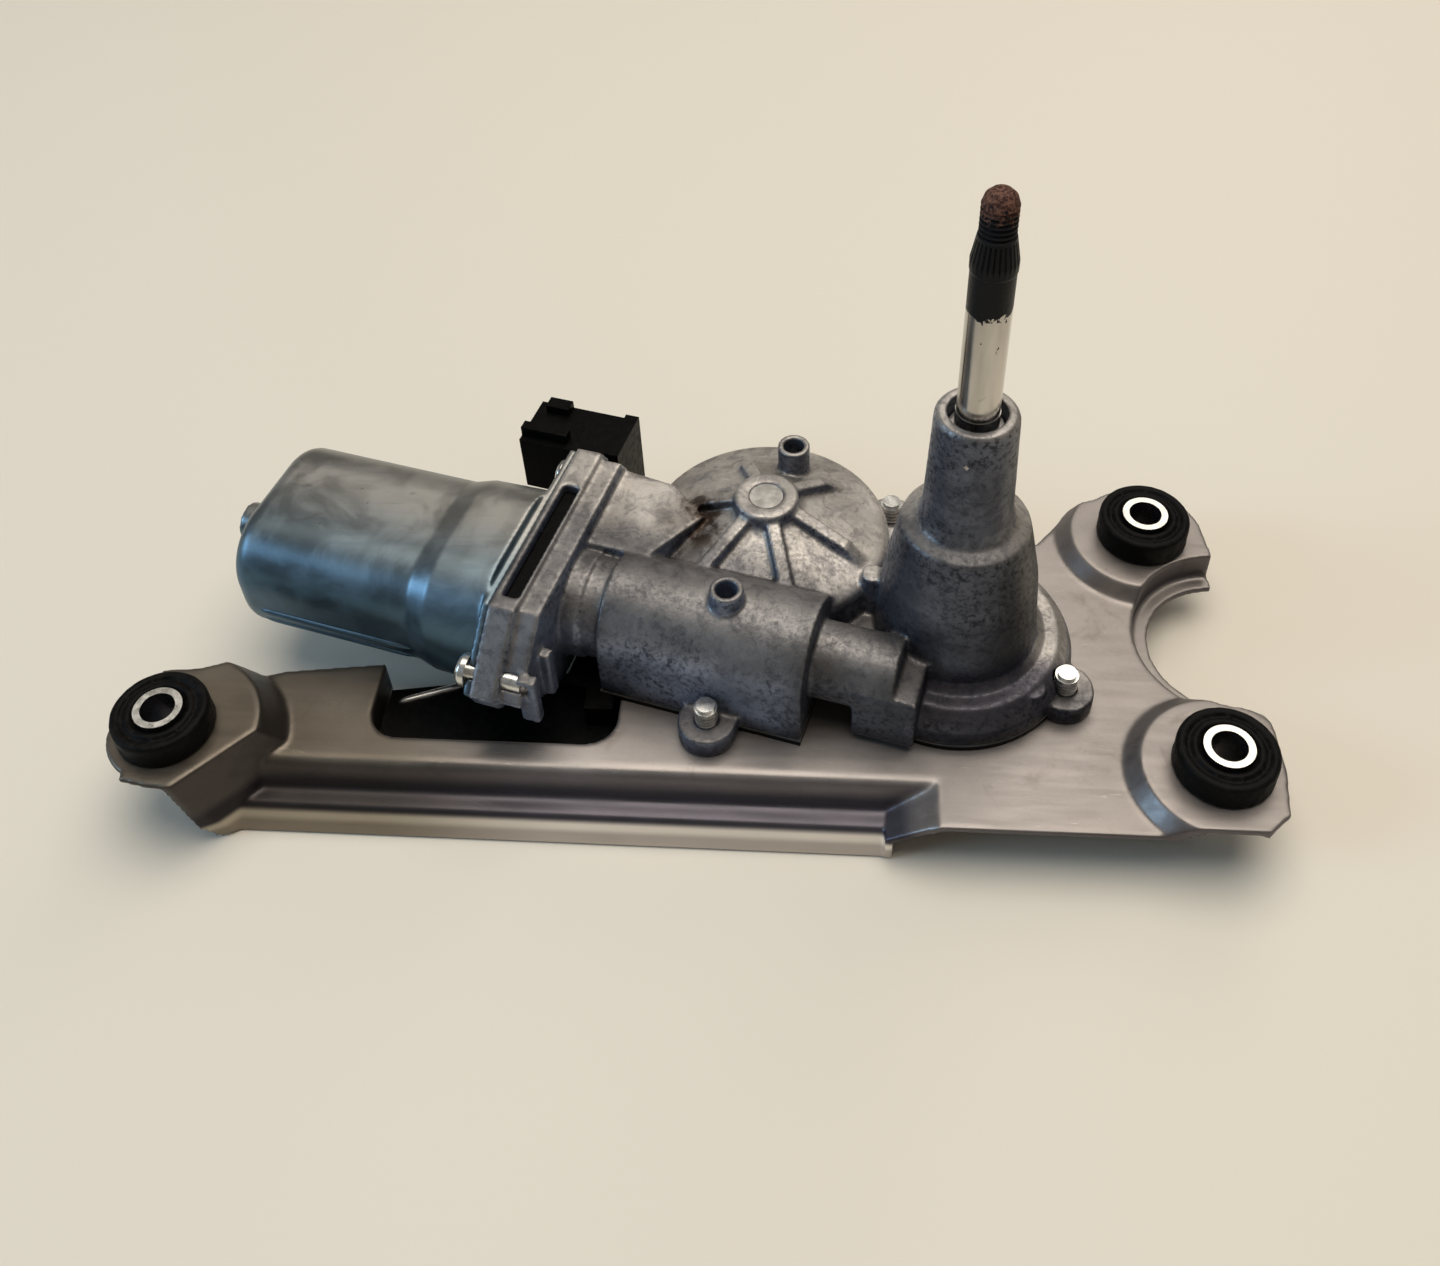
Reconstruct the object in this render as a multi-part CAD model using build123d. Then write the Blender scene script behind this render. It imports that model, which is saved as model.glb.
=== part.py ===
from build123d import *
import os
from math import asin, atan2, cos, degrees, hypot, pi, radians, sin, sqrt, tan

os.makedirs("parts", exist_ok=True)

# A rear-window wiper motor on its pressed-steel bracket.
# While a piece is drawn, the origin is on the output shaft's axis at the height of the bracket's deck. X runs
# along the bracket's front rail, Y goes to the back and Z goes up the shaft. Each piece is then lowered, so
# that the finished part has its origin on the shaft's axis at the foot of the exposed shank.

# Bracket: sheet, rail, ears and cut-outs
SHEET = 2.0
BEND_Y = -40.5
RAIL_BACK_Y = -43.8
RAIL_FRONT_Y = -48.8
RAIL_DROP = 8.0
LIP_DROP = 16.0
LIP_SPREAD = 3.4
RAIL_END_X = -18.0
RAIL_RISE_LENGTH = 13.0
BEND_RADIUS = 3.0
EAR_FRONT = (63.9, -35.1)
EAR_REAR = (55.1, 41.3)
EAR_LEFT = (-200.1, -38.6)
EAR_RISE = 4.0
LEFT_EAR_RISE = 9.0
EAR_PAD_RADIUS = 19.5
EAR_FOOT_RADIUS = 23.5
LEFT_PAD_RADIUS = 23.0
LEFT_FOOT_RADIUS = 28.5
EAR_OUTLINE_RADIUS = 15.3
EAR_FRONT_REACH = 17.8
EAR_REAR_OUTLINE = 17.5
LEFT_EAR_WALL_AT = (-192.0, -54.0)
LEFT_EAR_WALL_TURN = 46.7
LEFT_EAR_WALL_SPREAD = 5.2
SCALLOP_CENTRE = (74.5, 8.0)
SCALLOP_RADIUS = 21.0
SCALLOP_LEDGE = 4.5
SCALLOP_DROP = 4.5
POCKET_LEFT_X = -152.0
POCKET_RIGHT_X = -87.0
POCKET_FRONT_Y = -32.5
POCKET_CORNER = 8.0
DRAWING_ROOM = 300.0
# corners of the bracket's plan that no other piece gives
BACK_EDGE = [(36.0, 52.0), (26.0, 40.0), (5.0, 44.0), (-84.0, 28.0), (-92.0, 2.0), (-137.0, -7.5),
             (-178.8, -13.0), (-191.1, -17.0)]

# Grommets and sleeves
GROMMET_RADIUS = 12.5
GROMMET_HEIGHT = 7.8
GROMMET_NECK_RADIUS = 9.0
GROMMET_BELOW = 4.0
SLEEVE_RADIUS = 6.15
SLEEVE_BORE_RADIUS = 4.4
SLEEVE_STAND = 0.6
GROMMET_ROUND = 1.6
COLLAR_STEP = 2.0

# Motor axis in plan and height, and the places along it
MOTOR_TURN = -14.5
MOTOR_U = -24.0
MOTOR_Z = 16.5
CAN_LEFT_S = -186.5
FLANGE_LEFT_S = -109.5
FLANGE_RIGHT_S = -96.0
TUBE_LEFT_S = -85.0
TUBE_RIGHT_S = -30.4
END_TUBE_RIGHT_S = -9.0

# Motor can
CAN_WIDTH = 50.0
CAN_HEIGHT = 37.0
CAN_CORNER = 0.42 * CAN_HEIGHT
CAN_WALL = 1.8
CAN_END_ROUND = 5.0
CAN_FLARE = 2.0
CAN_FLARE_LENGTH = 22.0
CAN_FLANGE_THICK = 2.0
NUB_RADIUS = 5.6
NUB_LENGTH = 10.6
NUB_WALL = 1.2
CAN_SCREW_PLACES = [(-32.5, 4.5), (32.5, 11.0)]
CAN_SCREW_HEAD = 4.4
CAN_SCREW_HEAD_HEIGHT = 2.8
CAN_SCREW_RADIUS = 2.5

# Armature, commutator, brushes and magnets
ARMATURE_RADIUS = 14.2
AIR_GAP = 0.6
CORE_LEFT_S = -176.0
CORE_RIGHT_S = -140.0
CORE_SLOTS = 10
SLOT_FLOOR_RADIUS = 7.0
SLOT_ROOF_RADIUS = 12.2
SLOT_WIDTH = 3.8
SLOT_MOUTH = 1.8
WINDING_RADIUS = 12.6
END_TURN_LEFT = 6.0
END_TURN_RIGHT = 7.0
SHAFT_RADIUS = 4.0
SHAFT_END_RADIUS = 3.0
WORM_END_RADIUS = 3.5
COMMUTATOR_LEFT_S = -124.0
COMMUTATOR_RIGHT_S = -101.5
COMMUTATOR_RADIUS = 9.5
RISER_HEIGHT = 1.6
RISER_LENGTH = 2.5
BAR_SLOT = 0.6
MAGNET_HALF_GAP = 7.0
CLIP_STRIP_HALF = 6.5
CLIP_STRIP_THICK = 0.8
BRUSH_S = -104.5
BRUSH_SIZE = 5.0
BRUSH_LENGTH = 6.0
BRUSH_BOX_END_ROOM = 4.5
BRUSH_BOX_WALL = 0.7
BRUSH_PLAY = 0.05
LEAF_WIDTH = 3.0
LEAF_THICK = 0.4
BRUSH_PLATE_THICK = 2.0
CHOKE_ACROSS = 14.0
CHOKE_LENGTH = 8.0
CHOKE_ROD_RADIUS = 1.6
CHOKE_COIL_RADIUS = 2.6
CHOKE_TURNS = 6
CHOKE_PITCH = 1.1

# Gear wheel and worm
WHEEL_AT = (-49.9, 22.3)
WHEEL_TEETH = 50
WHEEL_MODULE = 1.1
WHEEL_BOTTOM = 12.5
WHEEL_THICK = 8.0
WORM_LENGTH = 26.0
WORM_CORE_RADIUS = 4.3
MESH_SLACK = 0.28
ADDENDUM = 1.0
WHEEL_PIN_RADIUS = 4.45
WHEEL_HUB_RADIUS = 8.2
WHEEL_HUB_HEIGHT = 5.0
WHEEL_RECESS_RADIUS = 6.75
WHEEL_FIRST_TURN = -90.0
WHEEL_GROOVE_DEPTH = 2.0
CLIP_THICK = 1.2
CLIP_SEAT_RADIUS = 3.7
CLIP_WIDTH = 1.8
CLIP_MOUTH = 3.0
PRESSURE_ANGLE = 20.0
CONTACT_THICK = 0.5
CONTACT_GAP = (5.0, 7.0)
PARK_CONTACT_TURN = 140.0
PARK_CONTACT_RADII = [12.5, 16.0, 19.5]
FINGER_WIDTH = 2.0
FINGER_THICK = 0.4

# Swing gear: crank, rod with toothed sector, links and pinion
CRANK_RADIUS = 7.8
LINK_LENGTH = 22.0
PINION_TEETH = 14
SECTOR_TEETH = 30
GEAR_MODULE = 1.0
GEAR_SLACK = 0.36
ROD_BOTTOM = 3.9
ROD_THICK = 4.0
ROD_WIDTH = 9.0
ROD_GAP = 0.3
LINK_THICK = 1.5
LINK_WIDTH = 9.0
CRANK_PIN_RADIUS = 3.0
SECTOR_PIN_RADIUS = 2.5
SECTOR_MARGIN = 18.0
GEAR_ADDENDUM = 0.92
GEAR_DEDENDUM = 1.25
CRANK_EYE_RADIUS = 5.7
SECTOR_EYE_RADIUS = 5.4
LINK_EYE_RADIUS = 7.0
SECTOR_CUT_RADIUS = 20.0

# Output shaft, from the foot up
SHAFT_FOOT_RADIUS = 4.0
SHAFT_FOOT_Z = -9.0
FOOT_CLIP_Z = 0.2
CLIP_GROOVE = 0.6
JOURNAL_LOW_Z = 10.1
JOURNAL_RADIUS = 5.2
SHANK_RADIUS = 5.0
SHANK_FOOT_GAP = 0.5
SPLINE_BOTTOM = 128.0
SPLINE_TOP = 137.0
SPLINE_LOW_RADIUS = 5.2
SPLINE_HIGH_RADIUS = 4.15
SPLINE_COUNT = 26
SPLINE_STRAIGHT = 3.0
SPLINE_CHAMFER = 0.6
SPLINE_GROOVE = 0.6
THREAD_PITCH = 1.25
THREAD_RADIUS = 4.0
THREAD_DEPTH = 0.6
THREAD_TOP = 145.0
SHAFT_TOP = 147.6
TIP_ROUND = 1.2
LOWER_BUSH = (11.2, 30.0)
UPPER_BUSH = (60.0, 78.5)
WASHER_THICK = 0.6
SEAL_THICK = 3.0

# Housing casting
CHAMBER_WALL = 3.0
WHEEL_ROOM = 1.6
CHAMBER_RIM_Z = 23.5
CHAMBER_ROUND = 2.5
CONE_TOP_Z = 31.0
HUB_RADIUS = 8.65
HUB_TOP_Z = 36.0
HUB_FOOT = 1.5
RIBS = [(36, 23.5), (110, 22.0), (172, 24.0), (230, 30.0), (284, 31.0), (334, 29.0)]
RIB_HEIGHT = 3.2
RIB_WIDTH = 3.8
RIB_DEPTH = 4.0
LOW_WALL = 2.4
ROD_ROOM = 1.0
LOW_TOP_Z = 12.0
CHANNEL_PLAN = [(-45.9, 33.0), (-8.0, 27.5), (0.0, -14.0), (-31.9, 2.0)]
CHANNEL_WALL = 4.0
TOWER_TOP = 88.0
TOWER_RADIUS = 9.9
TOWER_FOOT_RADIUS = 11.0
SHOULDER_RADIUS = 16.2
SHOULDER_Z = 52.0
SKIRT_RADIUS = 21.0
SKIRT_Z = 14.0
TUBE_RADIUS = 16.0
TUBE_BORE_RADIUS = 10.5
END_TUBE_RADIUS = 10.0
NECK_RADIUS = 13.6
NECK_RING = 0.8
NECK_RING_LENGTH = 5.0
TUBE_END_WALL = 3.0
BEARING_RADIUS = 8.0
BEARING_LENGTH = 8.0
END_BUSH_RADIUS = 6.0
BRUSH_ROOM_WIDTH = 44.0
BRUSH_ROOM_HEIGHT = 31.0
BRUSH_ROOM_DEPTH = 11.0
FLANGE_ROOF = 3.5
FLANGE_FLOOR = 1.5
FLANGE_STEP = 1.2
FLANGE_RIB_ACROSS = [-33.0, -24.0, 30.0]
FLANGE_RIB_HALF = 1.6
FLANGE_SLOT = (2.0, 6.5)
FLANGE_SLOT_ENDS = (-18.0, 22.0)
POST_WIDTH = 10.0
POST_FOOT = 6.0
POST_PAD = (3.5, 7.5)
SIDE_PAD = (3.0, 10.5)
PLATEAU_Z = 30.5
PLATEAU = [(-100.0, 13.0), (-100.0, -16.0), (-79.0, -16.0), (-69.0, 2.0), (-81.0, 11.0)]
TOWER_MOUTH_RADIUS = 6.9
TOWER_MOUTH_DEPTH = 6.0
LUG_RADIUS = 7.5
LUG_THICK = 6.0
LUG_PLACES = [(-63.3, -28.2), (27.7, -14.5), (-15.5, 44.0)]
LUG_ARMS = [(6.0, 11.0), (-12.0, 12.0), (3.0, -13.0)]
BOSS_RADIUS = 4.4
BOSS_BORE_RADIUS = 2.8
BOSS_DEPTH = 10.0
REAR_BOSS_AT = (-43.2, 41.0)
FRONT_BOSS_AT = (-58.3, -11.2)
REAR_BOSS_TOP = 36.5
FRONT_BOSS_TOP = 37.0

# Bearings, clearances and screws
RUNNING = 0.04
BUSH_WALL = 2.3
PART_GAP = 0.3
SCREW_RADIUS = 3.0
SCREW_FIT = 0.02
SCREW_HEAD_RADIUS = 5.2
SCREW_HEAD_HEIGHT = 3.2
SCREW_TIP_Z = 12.2
SMALL_SCREW_RADIUS = 1.75
SMALL_BOSS_RADIUS = 4.0
SMALL_BOSS_INSET = 2.6
THREAD_RING_DEPTH = 0.45
RECESS_WIDTH = 1.1
RECESS_DEPTH = 1.0

# Cover with its foot cup, shield and connector
COVER_THICK = 1.5
GASKET_THICK = 0.5
FOOT_CUP_RADIUS = 10.0
FOOT_CUP_BORE = 7.6
SHIELD_TOP_Z = -6.0
SHIELD_GAP = 1.5
SHIELD_BACK_Y = -4.0
CONNECTOR_LEFT_S = -131.0
CONNECTOR_RIGHT_S = -100.5
CONNECTOR_FRONT_U = 18.0
CONNECTOR_BACK_U = 35.0
CONNECTOR_TOP_Z = 27.5
CONNECTOR_LOW_Z = 9.0
CONNECTOR_WALL = 1.8
CONNECTOR_FOOT = 15.0
KEY_LENGTH = 14.0
KEY_HEIGHT = 3.0
SOCKET_DEPTH = 21.0
TERMINAL_PITCH = 3.2
TERMINAL_COUNT = 4
TERMINAL_WIDTH = 2.0
TERMINAL_THICK = 0.8

# Worked out from the driving sizes
UP = (Align.CENTER, Align.CENTER, Align.MIN)
SHANK_FOOT = TOWER_TOP + SHANK_FOOT_GAP
MOTOR_DIRECTION = (cos(radians(MOTOR_TURN)), sin(radians(MOTOR_TURN)))
WHEEL_S = WHEEL_AT[0] * MOTOR_DIRECTION[0] + WHEEL_AT[1] * MOTOR_DIRECTION[1]
WHEEL_U = WHEEL_AT[1] * MOTOR_DIRECTION[0] - WHEEL_AT[0] * MOTOR_DIRECTION[1]
WHEEL_PITCH_RADIUS = WHEEL_TEETH * WHEEL_MODULE / 2
WORM_PITCH_RADIUS = WHEEL_U - MOTOR_U - WHEEL_PITCH_RADIUS
WORM_LEAD = pi * WHEEL_MODULE
WHEEL_TOP = WHEEL_BOTTOM + WHEEL_THICK
WHEEL_DISTANCE = hypot(*WHEEL_AT)
ROD_LENGTH = sqrt(WHEEL_DISTANCE ** 2 - LINK_LENGTH ** 2)
ROD_TOP = ROD_BOTTOM + ROD_THICK
LINK_LOW_Z = ROD_BOTTOM - ROD_GAP - LINK_THICK
LINK_HIGH_Z = ROD_TOP + ROD_GAP
CASTING_BOTTOM = COVER_THICK + GASKET_THICK
CHAMBER_RADIUS = WHEEL_PITCH_RADIUS + ADDENDUM - 0.1 + WHEEL_ROOM + CHAMBER_WALL
LOW_RADIUS = LINK_LENGTH + SECTOR_EYE_RADIUS + ROD_ROOM + LOW_WALL
WORM_START_TURN = 90 - 360 * (0.5 + WORM_LENGTH / 2 / WORM_LEAD)
TUBE_WALL_U = MOTOR_U - TUBE_RADIUS
RING_Z = TOWER_TOP - TOWER_MOUTH_DEPTH + 0.5
BRUSH_BOX_LENGTH = BRUSH_ROOM_WIDTH / 2 - COMMUTATOR_RADIUS - BRUSH_BOX_END_ROOM
SEAL_Z = TOWER_TOP - TOWER_MOUTH_DEPTH - SEAL_THICK
FLANGE_TOP = BRUSH_ROOM_HEIGHT / 2 + FLANGE_ROOF
FLANGE_LOW = -(BRUSH_ROOM_HEIGHT / 2 + FLANGE_FLOOR)
CAN_MOUTH_S = FLANGE_LEFT_S - CAN_FLANGE_THICK
BRUSH_PLATE_S = FLANGE_LEFT_S + BRUSH_ROOM_DEPTH - BRUSH_PLATE_THICK
POCKET_FLOOR_Z = SHEET - LIP_DROP


def link_angle(reach):
    """Direction of the link, in degrees, when its pin is this far from the wheel's centre."""
    cosine = (WHEEL_DISTANCE ** 2 + LINK_LENGTH ** 2 - reach ** 2) / (2 * WHEEL_DISTANCE * LINK_LENGTH)
    opening = degrees(pi / 2 - asin(cosine))
    return degrees(atan2(WHEEL_AT[1], WHEEL_AT[0])) - opening


LINK_PARKED = link_angle(ROD_LENGTH + CRANK_RADIUS)
LINK_SWING = link_angle(ROD_LENGTH - CRANK_RADIUS) - LINK_PARKED
SECTOR_AT = (LINK_LENGTH * cos(radians(LINK_PARKED)), LINK_LENGTH * sin(radians(LINK_PARKED)))
ROD_ANGLE = degrees(atan2(SECTOR_AT[1] - WHEEL_AT[1], SECTOR_AT[0] - WHEEL_AT[0]))
CRANK_AT = (WHEEL_AT[0] + CRANK_RADIUS * cos(radians(ROD_ANGLE)),
            WHEEL_AT[1] + CRANK_RADIUS * sin(radians(ROD_ANGLE)))


def flat(points):
    """A closed flat outline."""
    return make_face(Polyline(*points, close=True))


def upright(points):
    """A solid turned about the vertical axis, from (radius, height) points."""
    return revolve(Plane.XZ * flat(points), Axis.Z)


def post(radius, low, high, at=(0, 0)):
    """A vertical round bar."""
    return Pos(at[0], at[1], low) * Cylinder(radius, high - low, align=UP)


def ring(outer, inner, low, high, at=(0, 0)):
    """A vertical tube."""
    return post(outer, low, high, at) - post(inner, low - 1, high + 1, at)


def bar(radius, left, right, across=0, rise=0):
    """A round bar along the motor axis, between two places on it."""
    place = Pos(left, MOTOR_U + across, MOTOR_Z + rise) * Rot(0, 90, 0)
    return place * Cylinder(radius, right - left, align=UP)


def pipe(outer, inner, left, right, across=0, rise=0):
    """A tube along the motor axis."""
    return bar(outer, left, right, across, rise) - bar(inner, left - 1, right + 1, across, rise)


def section(left):
    """The plane across the motor axis, with its x to the back and its y up."""
    return Plane(origin=(left, MOTOR_U, MOTOR_Z), x_dir=(0, 1, 0), z_dir=(1, 0, 0))


def block(low, high):
    """A box between two corners."""
    size = [b - a for a, b in zip(low, high)]
    return Pos(*low) * Box(*size, align=(Align.MIN, Align.MIN, Align.MIN))


def along_motor(shape):
    """Turn a shape drawn along X onto the motor's direction."""
    return Rot(0, 0, MOTOR_TURN) * shape


def motor_point(along, across):
    """The plan position of a place given along and across the motor's direction."""
    return (along * MOTOR_DIRECTION[0] - across * MOTOR_DIRECTION[1],
            along * MOTOR_DIRECTION[1] + across * MOTOR_DIRECTION[0])


def save(name, shape):
    """Lower a finished piece onto the part's own origin and write it."""
    shape = Pos(0, 0, -SHANK_FOOT) * shape
    shape.label = name
    export_step(shape, "parts/" + name + ".step")


def rounded(points, radii):
    """A closed outline with its corners rounded by the radii, one for each corner."""
    face = flat(points)
    for point, radius in zip(points, radii):
        if radius > 0:
            corner = min(face.vertices(), key=lambda v: hypot(v.X - point[0], v.Y - point[1]))
            face = fillet(corner, radius)
    return face


def bracket_front(inset):
    """The long pressed front: deck, bend, wall, ledge and lip, all along X."""
    low = -DRAWING_ROOM
    lip_end_y = RAIL_FRONT_Y + (low + RAIL_DROP) * LIP_SPREAD / (LIP_DROP - RAIL_DROP)
    points = [(DRAWING_ROOM, low), (DRAWING_ROOM, 0), (BEND_Y, 0), (RAIL_BACK_Y, -RAIL_DROP),
              (RAIL_FRONT_Y, -RAIL_DROP), (lip_end_y, low)]
    radii = [0, 0, BEND_RADIUS, BEND_RADIUS / 2, BEND_RADIUS * 2 / 3, 0]
    face = rounded(points, radii)
    if inset > 0:
        face = offset(face, amount=-inset)
    plane = Plane(origin=(-DRAWING_ROOM, 0, 0), x_dir=(0, 1, 0), z_dir=(1, 0, 0))
    return extrude(plane * face, 2 * DRAWING_ROOM)


def bracket_right(inset):
    """The plain right end, which rises from the ledge to the deck."""
    low = -DRAWING_ROOM
    points = [(RAIL_END_X, low), (RAIL_END_X, -RAIL_DROP), (RAIL_END_X + RAIL_RISE_LENGTH, 0),
              (DRAWING_ROOM, 0), (DRAWING_ROOM, low)]
    face = rounded(points, [0, 0, BEND_RADIUS, 0, 0])
    if inset > 0:
        face = offset(face, amount=-inset)
    plane = Plane(origin=(0, 0, 0), x_dir=(1, 0, 0), z_dir=(0, -1, 0))
    return extrude(plane * face, 2 * abs(BEND_Y))


def ear_form(centre, rise, pad, foot, inset):
    """A raised round ear: flat pad, sloping side, and a foot on the deck."""
    points = [(0, -DRAWING_ROOM), (foot - inset, -DRAWING_ROOM), (foot - inset, -inset),
              (pad - inset / 2, rise - inset), (0, rise - inset)]
    return Pos(*centre, 0) * upright(points)


def bracket_form(inset):
    """The pressed shape as a thick block; the sheet lies between two of them."""
    form = bracket_front(inset) + bracket_right(inset)
    for centre in (EAR_FRONT, EAR_REAR):
        form += ear_form(centre, EAR_RISE, EAR_PAD_RADIUS, EAR_FOOT_RADIUS, inset)
    left = ear_form(EAR_LEFT, LEFT_EAR_RISE, LEFT_PAD_RADIUS, LEFT_FOOT_RADIUS, inset)
    form += left - left_ear_cut(inset)
    ledge_radius = SCALLOP_RADIUS + SCALLOP_LEDGE + inset
    form -= post(ledge_radius, -SCALLOP_DROP - inset, DRAWING_ROOM, SCALLOP_CENTRE)
    form -= bracket_pocket(inset)
    return form


def left_ear_cut(inset):
    """What lies outside the slanting front wall of the left ear."""
    top, foot = 0.0, LEFT_EAR_WALL_SPREAD
    points = [(top - inset, LEFT_EAR_RISE + 1), (foot - inset, -LIP_DROP), (foot - inset, -DRAWING_ROOM),
              (DRAWING_ROOM, -DRAWING_ROOM), (DRAWING_ROOM, LEFT_EAR_RISE + 1)]
    plane = Plane(origin=(DRAWING_ROOM / 2, 0, 0), x_dir=(0, -1, 0), z_dir=(-1, 0, 0))
    wall = extrude(plane * flat(points), DRAWING_ROOM)
    return Pos(*LEFT_EAR_WALL_AT, 0) * Rot(0, 0, LEFT_EAR_WALL_TURN) * wall


def bracket_pocket(inset):
    """The recess under the motor flange, open to the back."""
    left, right, front = POCKET_LEFT_X - inset, POCKET_RIGHT_X + inset, POCKET_FRONT_Y - inset
    points = [(left, DRAWING_ROOM), (left, front), (right, front), (right, DRAWING_ROOM)]
    face = rounded(points, [0, POCKET_CORNER + inset, POCKET_CORNER + inset, 0])
    return Pos(0, 0, POCKET_FLOOR_Z - inset) * extrude(face, DRAWING_ROOM)


def bracket_outline():
    """The bracket's cut outline, seen from above."""
    front_y = RAIL_FRONT_Y - LIP_SPREAD
    ear_front_y = EAR_FRONT[1] - EAR_FRONT_REACH
    points = [(EAR_LEFT[0] - 7, EAR_LEFT[1] - 15.5), (EAR_LEFT[0] + 1, EAR_LEFT[1] - 17.0),
              (EAR_LEFT[0] + 9, EAR_LEFT[1] - 17.5), (EAR_LEFT[0] + 17, front_y),
              (RAIL_END_X, front_y), (RAIL_END_X + RAIL_RISE_LENGTH, ear_front_y),
              (EAR_FRONT[0] + 8, ear_front_y), (EAR_FRONT[0] + 13.5, EAR_FRONT[1] - 13),
              (EAR_FRONT[0] + EAR_OUTLINE_RADIUS, EAR_FRONT[1]),
              (EAR_FRONT[0] + 13, SCALLOP_CENTRE[1]), (EAR_REAR[0] + EAR_REAR_OUTLINE, EAR_REAR[1]),
              (EAR_REAR[0], EAR_REAR[1] + EAR_REAR_OUTLINE), *BACK_EDGE,
              (EAR_LEFT[0] + 2, EAR_LEFT[1] + 19.0), (EAR_LEFT[0] - 8, EAR_LEFT[1] + 18.0)]
    face = flat(points)
    for centre, radius in ((EAR_FRONT, EAR_OUTLINE_RADIUS), (EAR_REAR, EAR_REAR_OUTLINE),
                           (EAR_LEFT, EAR_OUTLINE_RADIUS)):
        face += Pos(*centre) * Circle(radius)
    face += Pos(*WHEEL_AT) * Circle(CHAMBER_RADIUS + 1)
    face += Pos(*LUG_PLACES[2]) * Circle(LUG_RADIUS + 2)
    face -= Pos(*SCALLOP_CENTRE) * Circle(SCALLOP_RADIUS)
    return face


def bracket():
    """Pressed sheet: front rail, three raised ears, round cut-out at the right, recess under the motor."""
    sheet = bracket_form(0) - bracket_form(SHEET)
    trim = Pos(0, 0, -LIP_DROP) * extrude(bracket_outline(), LIP_DROP + LEFT_EAR_RISE + 1)
    sheet = sheet & trim
    for centre in (EAR_FRONT, EAR_REAR, EAR_LEFT):
        sheet -= post(GROMMET_NECK_RADIUS, -DRAWING_ROOM, DRAWING_ROOM, centre)
    for place in LUG_PLACES:
        sheet -= post(SCREW_RADIUS + PART_GAP, -DRAWING_ROOM, DRAWING_ROOM, place)
    for place in cover_screw_places():
        sheet -= post(SMALL_BOSS_RADIUS + PART_GAP, -DRAWING_ROOM, DRAWING_ROOM, place)
    sheet -= post(FOOT_CUP_RADIUS + PART_GAP, -DRAWING_ROOM, DRAWING_ROOM)
    return sheet


def grommet(centre, rise):
    """Rubber grommet: thick collar on the ear, neck through the sheet, thin collar below."""
    half, low, top = GROMMET_RADIUS, rise - SHEET - GROMMET_BELOW, rise + GROMMET_HEIGHT
    lower_half = half - COLLAR_STEP
    points = [(SLEEVE_RADIUS, low), (lower_half - 1, low), (lower_half, low + 1), (lower_half, rise - SHEET),
              (GROMMET_NECK_RADIUS, rise - SHEET), (GROMMET_NECK_RADIUS, rise), (half, rise),
              (half, top - GROMMET_ROUND), (half - GROMMET_ROUND, top),
              (SLEEVE_RADIUS + GROMMET_ROUND + 1, top), (SLEEVE_RADIUS + GROMMET_ROUND, top - 1),
              (SLEEVE_RADIUS, top - 1)]
    return Pos(*centre, 0) * upright(points)


def sleeve(centre, rise):
    """Steel sleeve that takes the mounting bolt through a grommet."""
    low = rise - SHEET - GROMMET_BELOW - SLEEVE_STAND
    return ring(SLEEVE_RADIUS, SLEEVE_BORE_RADIUS, low, rise + GROMMET_HEIGHT + SLEEVE_STAND, centre)


def channel_outline(grow):
    """Plan of the passage for the rod between the gear chamber and the shaft's chamber."""
    steps = [grow, grow, -grow, -grow]
    return flat([(x, y + step) for (x, y), step in zip(CHANNEL_PLAN, steps)])


def casting_plan():
    """Plan of the casting's foot, which the cover closes from below."""
    plan = Pos(*WHEEL_AT) * Circle(CHAMBER_RADIUS) + Circle(LOW_RADIUS)
    plan += channel_outline(CHANNEL_WALL)
    tube = Pos(TUBE_LEFT_S, TUBE_WALL_U) * Rectangle(
        TUBE_RIGHT_S - TUBE_LEFT_S, -TUBE_WALL_U, align=(Align.MIN, Align.MIN))
    return plan + along_motor(tube)


def chamber_outside():
    """Round gear chamber with its shallow cone, hub and six ribs."""
    points = [(0, CASTING_BOTTOM), (CHAMBER_RADIUS, CASTING_BOTTOM),
              (CHAMBER_RADIUS, CHAMBER_RIM_Z - CHAMBER_ROUND), (CHAMBER_RADIUS - 0.8, CHAMBER_RIM_Z - 0.8),
              (CHAMBER_RADIUS - CHAMBER_ROUND, CHAMBER_RIM_Z), (HUB_RADIUS + HUB_FOOT, CONE_TOP_Z),
              (HUB_RADIUS, CONE_TOP_Z + 1), (HUB_RADIUS, HUB_TOP_Z - 0.6), (HUB_RADIUS - 0.6, HUB_TOP_Z),
              (0, HUB_TOP_Z)]
    body = Pos(*WHEEL_AT, 0) * upright(points)
    for angle, length in RIBS:
        body += Pos(*WHEEL_AT, 0) * Rot(0, 0, angle) * chamber_rib(length)
    return body


def cone_height(radius):
    """Height of the chamber's cone at this distance from the hub's axis."""
    inner, outer = HUB_RADIUS + HUB_FOOT, CHAMBER_RADIUS - CHAMBER_ROUND
    return CONE_TOP_Z - (CONE_TOP_Z - CHAMBER_RIM_Z) * (radius - inner) / (outer - inner)


def ceiling_height(radius):
    """Height of the chamber's ceiling at this distance from the hub's axis."""
    inner, outer = WHEEL_HUB_RADIUS + HUB_FOOT, CHAMBER_RADIUS - CHAMBER_WALL
    high, low = CONE_TOP_Z - CHAMBER_WALL, CHAMBER_RIM_Z - CHAMBER_WALL + 2
    return high - (high - low) * (radius - inner) / (outer - inner)


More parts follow.
